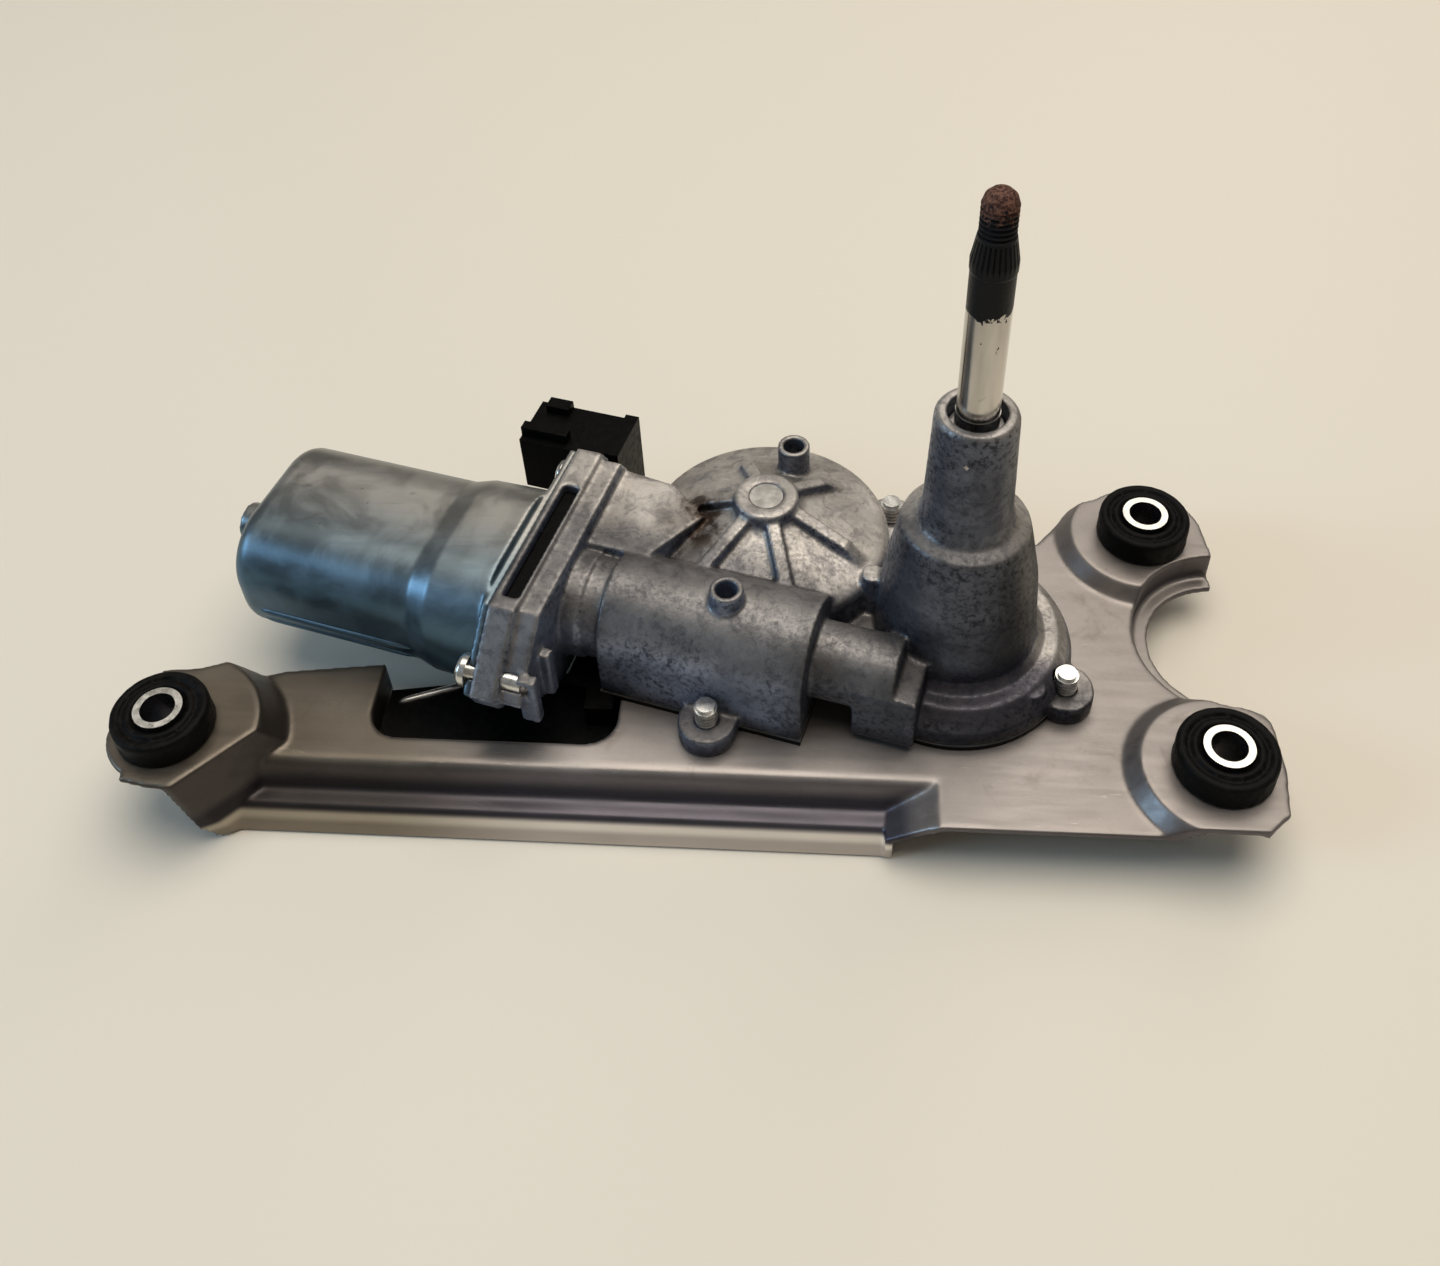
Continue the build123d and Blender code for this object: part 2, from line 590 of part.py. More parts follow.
def chamber_rib(length):
    """One rib, which runs out from the hub and sinks into the cone."""
    start, shoulder = HUB_RADIUS - CHAMBER_WALL, length - 1.5 * RIB_HEIGHT
    end = min(length, CHAMBER_RADIUS - 1)
    points = [(start, cone_height(HUB_RADIUS) - RIB_DEPTH), (end, cone_height(end) - RIB_DEPTH / 2),
              (end, cone_height(end)), (shoulder, cone_height(shoulder) + RIB_HEIGHT),
              (start, HUB_TOP_Z - 0.8)]
    face = Plane(origin=(0, RIB_WIDTH / 2, 0), x_dir=(1, 0, 0), z_dir=(0, -1, 0)) * flat(points)
    return extrude(face, RIB_WIDTH)


def tower_outside():
    """Tapering shaft tower on its low round foot."""
    points = [(0, CASTING_BOTTOM), (LOW_RADIUS, CASTING_BOTTOM), (LOW_RADIUS, LOW_TOP_Z - 5.5),
              (LOW_RADIUS - 1.5, LOW_TOP_Z - 2.4), (LOW_RADIUS - 4, LOW_TOP_Z), (SKIRT_RADIUS + 2, LOW_TOP_Z),
              (SKIRT_RADIUS, SKIRT_Z), (SHOULDER_RADIUS + 3, SKIRT_Z + 21),
              (SHOULDER_RADIUS + 0.5, SHOULDER_Z - 4), (SHOULDER_RADIUS - 0.4, SHOULDER_Z),
              (TOWER_FOOT_RADIUS + 1, SHOULDER_Z + 2), (TOWER_FOOT_RADIUS, SHOULDER_Z + 5),
              (TOWER_RADIUS, TOWER_TOP - 1.2), (TOWER_RADIUS - 1, TOWER_TOP), (0, TOWER_TOP)]
    return upright(points)


def tube_outside():
    """Worm tube with its straight front wall, the necks, the end tube and the post at its right end."""
    body = bar(TUBE_RADIUS, TUBE_LEFT_S, TUBE_RIGHT_S)
    body -= block((TUBE_LEFT_S - 1, TUBE_WALL_U, -1), (TUBE_RIGHT_S + 1, 0, CASTING_BOTTOM))
    body += block((TUBE_LEFT_S, TUBE_WALL_U, CASTING_BOTTOM), (TUBE_RIGHT_S, 0, MOTOR_Z))
    groove = FLANGE_RIGHT_S + NECK_RING_LENGTH
    body += bar(NECK_RADIUS - NECK_RING, FLANGE_RIGHT_S - 1, TUBE_LEFT_S + 1)
    body += bar(NECK_RADIUS + NECK_RING, FLANGE_RIGHT_S - 1, groove)
    body += bar(NECK_RADIUS, groove + NECK_RING, TUBE_LEFT_S + 1)
    body += bar(END_TUBE_RADIUS, TUBE_RIGHT_S - 1, END_TUBE_RIGHT_S)
    left, right = END_TUBE_RIGHT_S - POST_WIDTH, END_TUBE_RIGHT_S + POST_FOOT
    front, back = MOTOR_U - END_TUBE_RADIUS, MOTOR_U + POST_FOOT
    body += block((left, front, CASTING_BOTTOM), (right, back, MOTOR_Z + 3))
    body += post(POST_PAD[0], CASTING_BOTTOM, MOTOR_Z + POST_PAD[1], (left + 4, MOTOR_U + 3))
    body += post(SIDE_PAD[0], CASTING_BOTTOM, MOTOR_Z + SIDE_PAD[1], (left - 3, TUBE_WALL_U + 38.5))
    return along_motor(body)


def flange_points(grow):
    """Outline of the motor flange about the motor axis: (to the back, up)."""
    half = BRUSH_ROOM_WIDTH / 2
    points = [(-half, FLANGE_TOP), (half + 14, FLANGE_TOP), (half + 18, FLANGE_TOP - 6), (half + 16, 2),
              (half + 3, -12), (half - 4, FLANGE_LOW), (-half + 6, FLANGE_LOW), (-half - 4, -11),
              (-half - 15, -2), (-half - 17, 3)]
    return [(x + grow * (1 if x > 0 else -1), y + grow * (1 if y > 0 else -1)) for x, y in points]


def flange_outside():
    """Cast flange that carries the motor can, with a rib block on its right side."""
    thick = FLANGE_RIGHT_S - FLANGE_LEFT_S
    body = extrude(section(FLANGE_LEFT_S) * flat(flange_points(0)), thick * 0.55)
    body += extrude(section(FLANGE_LEFT_S) * flat(flange_points(-FLANGE_STEP)), thick)
    for across in FLANGE_RIB_ACROSS:
        rib = Pos(across, 0) * Rectangle(2 * FLANGE_RIB_HALF, BRUSH_ROOM_HEIGHT / 2)
        body += extrude(section(FLANGE_RIGHT_S - 2) * rib, 5)
    body += Pos(0, 0, 2 * CASTING_BOTTOM) * extrude(flat(PLATEAU), PLATEAU_Z - 2 * CASTING_BOTTOM)
    return along_motor(body)


def lugs():
    """Three screw lugs at the casting's foot."""
    parts = []
    for place, step in zip(LUG_PLACES, LUG_ARMS):
        arm = Rectangle(hypot(*step), 2 * LUG_RADIUS - 1, align=(Align.MIN, Align.CENTER))
        turn = Rot(0, 0, degrees(atan2(step[1], step[0])))
        arm = Pos(*place, CASTING_BOTTOM) * turn * extrude(arm, LUG_THICK - CASTING_BOTTOM)
        parts.append(post(LUG_RADIUS, 0, LUG_THICK, place) + arm)
    return parts[0] + parts[1] + parts[2]


def housing_hollows():
    """Everything that is hollow in the casting."""
    inner = CHAMBER_RADIUS - CHAMBER_WALL
    hub = WHEEL_HUB_RADIUS + HUB_FOOT
    points = [(0, CASTING_BOTTOM - 1), (inner, CASTING_BOTTOM - 1), (inner, ceiling_height(inner)),
              (hub, ceiling_height(hub)), (0, ceiling_height(hub))]
    hollow = Pos(*WHEEL_AT, 0) * upright(points)
    hollow += post(LOW_RADIUS - LOW_WALL, CASTING_BOTTOM - 1, LOW_TOP_Z - LOW_WALL + 0.8)
    channel = extrude(channel_outline(0), LOW_TOP_Z - LOW_WALL + 1.8 - CASTING_BOTTOM)
    hollow += Pos(0, 0, CASTING_BOTTOM - 1) * channel
    worm_room = bar(TUBE_BORE_RADIUS, TUBE_LEFT_S + TUBE_END_WALL, TUBE_RIGHT_S - TUBE_END_WALL)
    shaft_room = bar(BEARING_RADIUS, FLANGE_LEFT_S + BRUSH_ROOM_DEPTH - 1, TUBE_LEFT_S + 4)
    end_room = bar(END_BUSH_RADIUS, TUBE_RIGHT_S - 4, END_TUBE_RIGHT_S - 2)
    brush_face = section(FLANGE_LEFT_S - 1) * Rectangle(BRUSH_ROOM_WIDTH, BRUSH_ROOM_HEIGHT)
    brush_room = extrude(brush_face, BRUSH_ROOM_DEPTH + 1)
    slot = block((FLANGE_LEFT_S + FLANGE_SLOT[0], MOTOR_U + FLANGE_SLOT_ENDS[0], MOTOR_Z),
                 (FLANGE_LEFT_S + FLANGE_SLOT[1], MOTOR_U + FLANGE_SLOT_ENDS[1], MOTOR_Z + BRUSH_ROOM_HEIGHT))
    hollow += along_motor(worm_room + shaft_room + end_room + brush_room + slot)
    hollow += post(JOURNAL_RADIUS + BUSH_WALL, 0, SEAL_Z)
    hollow += post(TOWER_MOUTH_RADIUS, SEAL_Z, TOWER_TOP + 1)
    return hollow


def gear_housing():
    """The casting: gear chamber, worm tube, motor flange, shaft tower, lugs and tapped bosses."""
    plan = channel_outline(CHANNEL_WALL)
    body = Pos(0, 0, CASTING_BOTTOM) * extrude(plan, LOW_TOP_Z + 2 - CASTING_BOTTOM)
    body += chamber_outside() + tower_outside() + tube_outside() + flange_outside() + lugs()
    body += post(BOSS_RADIUS, CHAMBER_RIM_Z, REAR_BOSS_TOP, REAR_BOSS_AT)
    body += post(BOSS_RADIUS, MOTOR_Z, FRONT_BOSS_TOP, FRONT_BOSS_AT)
    body -= housing_hollows()
    body += post(WHEEL_HUB_RADIUS - 1, WHEEL_TOP + WHEEL_HUB_HEIGHT, CONE_TOP_Z, WHEEL_AT)
    for place, top in ((REAR_BOSS_AT, REAR_BOSS_TOP), (FRONT_BOSS_AT, FRONT_BOSS_TOP)):
        body -= post(BOSS_BORE_RADIUS, top - BOSS_DEPTH, top + 1, place)
    for place in LUG_PLACES:
        body -= post(SCREW_RADIUS, -1, LUG_THICK, place)
        body -= post(SCREW_RADIUS + PART_GAP, LUG_THICK, SCREW_TIP_Z + 1, place)
    for place in cover_screw_places():
        body += post(SMALL_BOSS_RADIUS, CASTING_BOTTOM, LOW_TOP_Z - 1, place)
        body -= post(SMALL_SCREW_RADIUS, CASTING_BOTTOM - 1, LOW_TOP_Z - 3, place)
    body -= post(WHEEL_PIN_RADIUS, WHEEL_BOTTOM, HUB_TOP_Z + 1, WHEEL_AT)
    for across, rise in CAN_SCREW_PLACES:
        body -= along_motor(bar(CAN_SCREW_RADIUS, FLANGE_LEFT_S - 1, FLANGE_RIGHT_S + 1, across, rise))
    return body


def cover_screw_places():
    """Where the cover's screws go up into the casting."""
    inset = CHAMBER_RADIUS - CHAMBER_WALL - SMALL_BOSS_INSET
    places = []
    for angle in (100, 165):
        places.append((WHEEL_AT[0] + inset * cos(radians(angle)), WHEEL_AT[1] + inset * sin(radians(angle))))
    places.append(motor_point(TUBE_RIGHT_S - 5, TUBE_WALL_U + 6))
    low_inset = LOW_RADIUS - LOW_WALL - SMALL_BOSS_INSET
    places.append((low_inset * cos(radians(-45)), low_inset * sin(radians(-45))))
    return places


def screw(shank, head, head_height, low, high, place):
    """An upright pan-head screw whose head is at its lower end, with thread rings at its tip."""
    body = post(head, low - head_height, low, place) + post(shank, low, high - 1, place)
    body += post(shank - THREAD_DEPTH, high - 1, high, place)
    recess = Pos(place[0], place[1], low - head_height) * Rot(0, 0, 45)
    deep = 2 * RECESS_DEPTH
    return body - recess * Box(head, RECESS_WIDTH, deep) - recess * Box(RECESS_WIDTH, head, deep)


def bracket_screws():
    """Three screws from below the deck; their tips stand out of the lugs."""
    body = []
    for place in LUG_PLACES:
        one = screw(SCREW_RADIUS - SCREW_FIT, SCREW_HEAD_RADIUS, SCREW_HEAD_HEIGHT, -SHEET, SCREW_TIP_Z,
                    place)
        for step in range(3):
            low = LUG_THICK + 0.8 + step * THREAD_PITCH
            one -= ring(SCREW_RADIUS + 1, SCREW_RADIUS - THREAD_RING_DEPTH, low, low + 0.5, place)
        body.append(one)
    return Compound(children=body)


def can_outline(grow):
    """The can's flat-sided outline about the motor axis."""
    return RectangleRounded(CAN_WIDTH + 2 * grow, CAN_HEIGHT + 2 * grow, CAN_CORNER + grow)


def motor_can():
    """Deep-drawn steel can: flat-sided tube, closed left end with a nub, flared mouth and screw flange."""
    body = extrude(section(CAN_LEFT_S) * can_outline(0), CAN_MOUTH_S - CAN_LEFT_S)
    left_face = body.faces().sort_by(Axis.X)[0]
    body = fillet(left_face.edges(), CAN_END_ROUND)
    flare = [(CAN_MOUTH_S - CAN_FLARE_LENGTH, 0.01), (CAN_MOUTH_S - CAN_FLARE_LENGTH * 0.75, CAN_FLARE * 0.8),
             (CAN_MOUTH_S, CAN_FLARE)]
    body += loft([section(place) * can_outline(grow) for place, grow in flare], ruled=True)
    body += extrude(section(CAN_MOUTH_S) * flat(flange_points(-FLANGE_STEP / 2)), CAN_FLANGE_THICK)
    body += bar(NUB_RADIUS, CAN_LEFT_S - NUB_LENGTH, CAN_LEFT_S + 1)
    inside = extrude(section(CAN_LEFT_S + CAN_WALL) * can_outline(-CAN_WALL), FLANGE_LEFT_S - CAN_LEFT_S)
    body -= inside
    body -= bar(NUB_RADIUS - NUB_WALL, CAN_LEFT_S - NUB_LENGTH + NUB_WALL, CAN_LEFT_S + CAN_WALL + 1)
    for across, rise in CAN_SCREW_PLACES:
        body -= bar(CAN_SCREW_RADIUS + PART_GAP, CAN_MOUTH_S - 1, FLANGE_LEFT_S + 1, across, rise)
    return along_motor(body)


def can_screws():
    """Two pan-head screws that hold the can's flange to the casting."""
    body = []
    top = CAN_MOUTH_S - CAN_SCREW_HEAD_HEIGHT
    for across, rise in CAN_SCREW_PLACES:
        one = bar(CAN_SCREW_HEAD, top, CAN_MOUTH_S, across, rise)
        one = fillet(one.edges().group_by(Axis.X)[0], CAN_SCREW_HEAD_HEIGHT / 2)
        one += bar(CAN_SCREW_RADIUS - SCREW_FIT, CAN_MOUTH_S, FLANGE_RIGHT_S - 1, across, rise)
        place = Pos(top, MOTOR_U + across, MOTOR_Z + rise)
        one -= place * Box(2 * RECESS_DEPTH, CAN_SCREW_HEAD, RECESS_WIDTH)
        one -= place * Box(2 * RECESS_DEPTH, RECESS_WIDTH, CAN_SCREW_HEAD)
        body.append(along_motor(one))
    return Compound(children=body)


def can_end_bush():
    """Sintered bush in the can's nub."""
    low = CAN_LEFT_S - NUB_LENGTH + NUB_WALL
    high = CAN_LEFT_S + CAN_WALL + 0.5
    return along_motor(pipe(NUB_RADIUS - NUB_WALL, SHAFT_END_RADIUS + RUNNING, low, high))


def magnets():
    """Two curved magnets, one on each wide side of the can."""
    shape = extrude(section(CORE_LEFT_S - 2) * can_outline(-CAN_WALL), CORE_RIGHT_S - CORE_LEFT_S + 4)
    shape -= bar(ARMATURE_RADIUS + AIR_GAP, CORE_LEFT_S - 3, CORE_RIGHT_S + 3)
    keep = block((CORE_LEFT_S - 3, MAGNET_HALF_GAP, -CAN_HEIGHT), (CORE_RIGHT_S + 3, CAN_WIDTH, CAN_HEIGHT))
    pair = [shape & (Pos(0, MOTOR_U, MOTOR_Z) * Rot(turn, 0, 0) * keep) for turn in (0, 180)]
    return Compound(children=[along_motor(one) for one in pair])


def magnet_clips():
    """Two spring strips, above and below the armature, that wedge the magnets apart."""
    strips = []
    height = CAN_HEIGHT / 2 - CAN_WALL - CLIP_STRIP_THICK / 2
    for low in (-height, height - CLIP_STRIP_THICK):
        strip = block((CORE_LEFT_S, -CLIP_STRIP_HALF, low),
                      (CORE_RIGHT_S, CLIP_STRIP_HALF, low + CLIP_STRIP_THICK))
        strips.append(along_motor(Pos(0, MOTOR_U, MOTOR_Z) * strip))
    return Compound(children=strips)


def worm_thread():
    """One worm thread: a tapered tooth swept round the shaft."""
    left = WHEEL_S - WORM_LENGTH / 2
    tip = WORM_PITCH_RADIUS + ADDENDUM
    root = WORM_CORE_RADIUS - 0.3
    pitch_half = WORM_LEAD / 4 - MESH_SLACK / 2
    slope = tan(radians(PRESSURE_ANGLE))
    tip_half = pitch_half - ADDENDUM * slope
    root_half = pitch_half + (WORM_PITCH_RADIUS - root) * slope
    path = Helix(pitch=WORM_LEAD, height=WORM_LENGTH, radius=WORM_PITCH_RADIUS)
    tooth = flat([(root - WORM_PITCH_RADIUS, -root_half), (tip - WORM_PITCH_RADIUS, -tip_half),
                  (tip - WORM_PITCH_RADIUS, tip_half), (root - WORM_PITCH_RADIUS, root_half)])
    start = Plane(origin=(WORM_PITCH_RADIUS, 0, 0), x_dir=(1, 0, 0), z_dir=(0, -1, 0))
    thread = sweep(start * tooth, path=path, is_frenet=True)
    return Pos(left, MOTOR_U, MOTOR_Z) * Rot(0, 90, 0) * Rot(0, 0, WORM_START_TURN) * thread


def armature_shaft():
    """Ground shaft from the can's nub to the worm's end, with the worm thread on it."""
    left = CAN_LEFT_S - NUB_LENGTH + NUB_WALL + 0.3
    body = bar(SHAFT_END_RADIUS, left, CAN_LEFT_S + 6)
    body += bar(SHAFT_RADIUS, CAN_LEFT_S + 4, TUBE_LEFT_S + 6)
    body += bar(WORM_CORE_RADIUS, TUBE_LEFT_S + 6, TUBE_RIGHT_S - 4.5)
    body += bar(WORM_END_RADIUS, TUBE_RIGHT_S - 5, END_TUBE_RIGHT_S - 5)
    body += worm_thread()
    return along_motor(body)


def armature_core():
    """Laminated core with slots for the windings."""
    body = bar(ARMATURE_RADIUS, CORE_LEFT_S, CORE_RIGHT_S)
    for index in range(CORE_SLOTS):
        turn = Pos(0, MOTOR_U, MOTOR_Z) * Rot(360 / CORE_SLOTS * index, 0, 0)
        body -= turn * block((CORE_LEFT_S - 1, -SLOT_MOUTH / 2, SLOT_FLOOR_RADIUS),
                             (CORE_RIGHT_S + 1, SLOT_MOUTH / 2, ARMATURE_RADIUS + 1))
        body -= turn * block((CORE_LEFT_S - 1, -SLOT_WIDTH / 2, SLOT_FLOOR_RADIUS),
                             (CORE_RIGHT_S + 1, SLOT_WIDTH / 2, SLOT_ROOF_RADIUS))
    return along_motor(body - bar(SHAFT_RADIUS, CORE_LEFT_S - 1, CORE_RIGHT_S + 1))


def armature_windings():
    """Copper windings: a bundle in each slot, joined by the end turns."""
    body = pipe(WINDING_RADIUS, SHAFT_RADIUS + 1.5, CORE_LEFT_S - END_TURN_LEFT, CORE_LEFT_S)
    body += pipe(WINDING_RADIUS, SHAFT_RADIUS + 1.5, CORE_RIGHT_S, CORE_RIGHT_S + END_TURN_RIGHT)
    half, gap = SLOT_WIDTH / 2 - 0.2, 0.2
    for index in range(CORE_SLOTS):
        turn = Pos(0, MOTOR_U, MOTOR_Z) * Rot(360 / CORE_SLOTS * index, 0, 0)
        body += turn * block((CORE_LEFT_S - 3, -half, SLOT_FLOOR_RADIUS + gap),
                             (CORE_RIGHT_S + 3, half, SLOT_ROOF_RADIUS - gap))
    return along_motor(body)


def commutator():
    """Ring of copper bars with the slots between them."""
    body = pipe(COMMUTATOR_RADIUS, SHAFT_RADIUS, COMMUTATOR_LEFT_S, COMMUTATOR_RIGHT_S)
    outer = COMMUTATOR_RADIUS + RISER_HEIGHT
    body += pipe(outer, SHAFT_RADIUS, COMMUTATOR_LEFT_S, COMMUTATOR_LEFT_S + RISER_LENGTH)
    for index in range(CORE_SLOTS):
        turn = Pos(0, MOTOR_U, MOTOR_Z) * Rot(360 / CORE_SLOTS * (index + 0.5), 0, 0)
        body -= turn * block((COMMUTATOR_LEFT_S - 1, -BAR_SLOT / 2, COMMUTATOR_RADIUS - 2.5),
                             (COMMUTATOR_RIGHT_S + 1, BAR_SLOT / 2, outer + 1))
    return along_motor(body)


def front_bearing():
    """Bush in the neck that carries the shaft beside the worm."""
    low = FLANGE_RIGHT_S + 1
    return along_motor(pipe(BEARING_RADIUS, SHAFT_RADIUS + RUNNING, low, low + BEARING_LENGTH))


def worm_end_bush():
    """Bush in the end tube that carries the worm's right end."""
    low = TUBE_RIGHT_S - 3.5
    return along_motor(pipe(END_BUSH_RADIUS, WORM_END_RADIUS + RUNNING, low, END_TUBE_RIGHT_S - 7))


def thrust_pad():
    """Hard pad that takes the worm's end thrust."""
    return along_motor(bar(END_BUSH_RADIUS, END_TUBE_RIGHT_S - 5 + 0.1, END_TUBE_RIGHT_S - 2))


def brush_plate():
    """Black plastic plate that closes the brush room and fills the slot in the flange."""
    face = section(BRUSH_PLATE_S) * Rectangle(BRUSH_ROOM_WIDTH, BRUSH_ROOM_HEIGHT)
    body = extrude(face, BRUSH_PLATE_THICK)
    body -= bar(SHAFT_RADIUS + 2, BRUSH_PLATE_S - 1, FLANGE_RIGHT_S)
    front, back = MOTOR_U + FLANGE_SLOT_ENDS[0] + PART_GAP, MOTOR_U + FLANGE_SLOT_ENDS[1] - PART_GAP
    left, right = FLANGE_LEFT_S + FLANGE_SLOT[0] + PART_GAP, FLANGE_LEFT_S + FLANGE_SLOT[1] - PART_GAP
    roof = MOTOR_Z + BRUSH_ROOM_HEIGHT / 2
    body += block((left, front, roof - 2), (BRUSH_PLATE_S + 1, back, roof))
    body += block((left, front, roof - 1), (right, back, roof + FLANGE_ROOF - 2.5))
    return along_motor(body)


def brush_parts():
    """Boxes, brushes and leaf springs in pairs, one of each on each side of the commutator."""
    half, inner = BRUSH_SIZE / 2, COMMUTATOR_RADIUS + BRUSH_PLAY
    play, outer = half + BRUSH_PLAY, half + BRUSH_BOX_WALL
    low, high = inner + BRUSH_LENGTH, inner + BRUSH_BOX_LENGTH + 3
    boxes, brushes, springs = [], [], []
    for turn in (0, 180):
        place = Pos(0, MOTOR_U, MOTOR_Z) * Rot(turn, 0, 0)
        carbon = block((BRUSH_S - half, inner, -half), (BRUSH_S + half, low, half))
        box = block((BRUSH_S - outer, inner + 1, -outer),
                    (BRUSH_PLATE_S, inner + 1 + BRUSH_BOX_LENGTH, outer))
        box -= block((BRUSH_S - play, inner, -play), (BRUSH_S + play, high, play))
        side = LEAF_WIDTH / 2
        leaf = block((BRUSH_S - side, low, -side), (BRUSH_S + side, high, side))
        leaf -= block((BRUSH_S - side - 1, low + LEAF_THICK, LEAF_THICK - side),
                      (BRUSH_S + side + 1, high - LEAF_THICK, side - LEAF_THICK))
        boxes.append(along_motor(place * box))
        brushes.append(along_motor(place * carbon))
        springs.append(along_motor(place * leaf))
    return Compound(children=boxes), Compound(children=brushes), Compound(children=springs)


def choke_coils():
    """Two interference chokes on the brush plate: a ferrite rod with its winding."""
    start, rise = BRUSH_PLATE_S - CHOKE_LENGTH, -(BRUSH_ROOM_HEIGHT / 2 - CHOKE_COIL_RADIUS - 1.4)
    coils = []
    for across in (-CHOKE_ACROSS, CHOKE_ACROSS):
        body = bar(CHOKE_ROD_RADIUS, start, BRUSH_PLATE_S, across, rise)
        for turn in range(CHOKE_TURNS):
            low = start + 0.6 + turn * CHOKE_PITCH
            body += bar(CHOKE_COIL_RADIUS, low, low + 0.8, across, rise)
        coils.append(along_motor(body))
    return Compound(children=coils)


def gear_outline(teeth, module, addendum, dedendum, slack, first_turn=0.0):
    """Plan of a toothed wheel with straight-flanked teeth."""
    pitch = teeth * module / 2
    tooth = pi * module / 2 - slack
    lean = tan(radians(PRESSURE_ANGLE))
    points = []
    for index in range(teeth):
        middle = radians(first_turn + 360 / teeth * index)
        root, tip = pitch - dedendum, pitch + addendum
        points.append((root, middle, (tooth / 2 + dedendum * lean) / root))
        points.append((tip, middle, (tooth / 2 - addendum * lean) / tip))
    outline = []
    for root, tip in zip(points[0::2], points[1::2]):
        for radius, middle, half, side in ((root[0], root[1], root[2], -1), (tip[0], tip[1], tip[2], -1),
                                           (tip[0], tip[1], tip[2], 1), (root[0], root[1], root[2], 1)):
            angle = middle + side * half
            outline.append((radius * cos(angle), radius * sin(angle)))
    return flat(outline)


def worm_wheel():
    """Plastic wheel driven by the worm, with its hub on the wheel pin."""
    outline = gear_outline(WHEEL_TEETH, WHEEL_MODULE, ADDENDUM - 0.1, ADDENDUM + 0.2, MESH_SLACK,
                           WHEEL_FIRST_TURN + MOTOR_TURN)
    lead_angle = degrees(WORM_LEAD / (2 * pi * WORM_PITCH_RADIUS))
    twist = degrees(WHEEL_THICK * tan(radians(lead_angle)) / WHEEL_PITCH_RADIUS)
    low_face = Rot(0, 0, -twist / 2) * outline
    high_face = Pos(0, 0, WHEEL_THICK) * Rot(0, 0, twist / 2) * outline
    body = Pos(*WHEEL_AT, WHEEL_BOTTOM) * loft([low_face, high_face], ruled=True)
    body += post(WHEEL_HUB_RADIUS - 1.5, WHEEL_BOTTOM, WHEEL_TOP + WHEEL_HUB_HEIGHT - PART_GAP, WHEEL_AT)
    groove_top = WHEEL_BOTTOM + WHEEL_GROOVE_DEPTH
    body -= ring(WHEEL_PITCH_RADIUS - 4.5, WHEEL_HUB_RADIUS + 1, WHEEL_BOTTOM - 1, groove_top, WHEEL_AT)
    body -= post(WHEEL_PIN_RADIUS + RUNNING, WHEEL_BOTTOM - 1, WHEEL_TOP + WHEEL_HUB_HEIGHT + 1, WHEEL_AT)
    body -= post(WHEEL_RECESS_RADIUS, WHEEL_BOTTOM - 1, WHEEL_BOTTOM + CLIP_THICK + 2 * PART_GAP, WHEEL_AT)
    return body


def wheel_pin():
    """Steel pin pressed into the hub; the wheel turns on it."""
    body = post(WHEEL_PIN_RADIUS, WHEEL_BOTTOM + PART_GAP / 3, HUB_TOP_Z - 0.4, WHEEL_AT)
    low = WHEEL_BOTTOM + PART_GAP
    return body - ring(WHEEL_PIN_RADIUS + 1, CLIP_SEAT_RADIUS, low, low + CLIP_THICK, WHEEL_AT)


def wheel_clip():
    """Spring clip in the pin's groove, inside the wheel's recess."""
    low = WHEEL_BOTTOM + PART_GAP
    body = ring(WHEEL_PIN_RADIUS + CLIP_WIDTH, CLIP_SEAT_RADIUS, low, low + CLIP_THICK, WHEEL_AT)
    mouth = Pos(WHEEL_AT[0] + WHEEL_PIN_RADIUS, WHEEL_AT[1], low + CLIP_THICK / 2)
    return body - mouth * Box(WHEEL_PIN_RADIUS, CLIP_MOUTH, 2 * CLIP_THICK)


def contact_plate():
    """Brass switching ring on the wheel's top, with the gap that marks the parked position."""
    outer, inner = WHEEL_PITCH_RADIUS - 5, WHEEL_HUB_RADIUS + 2
    body = ring(outer, inner, WHEEL_TOP, WHEEL_TOP + CONTACT_THICK, WHEEL_AT)
    gap = Pos(WHEEL_AT[0] - (outer + inner) / 2 - 1, WHEEL_AT[1], WHEEL_TOP)
    return body - gap * Box(*CONTACT_GAP, 4 * CONTACT_THICK)


def park_contacts():
    """Three sprung fingers under the chamber's ceiling that read the switching ring."""
    fingers = []
    top = CHAMBER_RIM_Z - CHAMBER_WALL + 2
    low = top - 2 * FINGER_THICK
    half = FINGER_WIDTH / 2
    for radius in PARK_CONTACT_RADII:
        arm = block((radius - half, -4, low), (radius + half, 8, low + FINGER_THICK))
        arm += block((radius - half, -4, low - FINGER_THICK), (radius + half, -2, low + FINGER_THICK))
        stem_top = ceiling_height(hypot(radius + half, 8)) - PART_GAP
        stem = block((radius - half, 6, low), (radius + half, 8, stem_top))
        fingers.append(Pos(*WHEEL_AT, 0) * Rot(0, 0, PARK_CONTACT_TURN) * (arm + stem))
    return Compound(children=fingers)


def crank_pin():
    """Pin of the crank, which the wheel carries round and the rod hangs on."""
    return post(CRANK_PIN_RADIUS, ROD_BOTTOM, WHEEL_BOTTOM - PART_GAP, CRANK_AT)


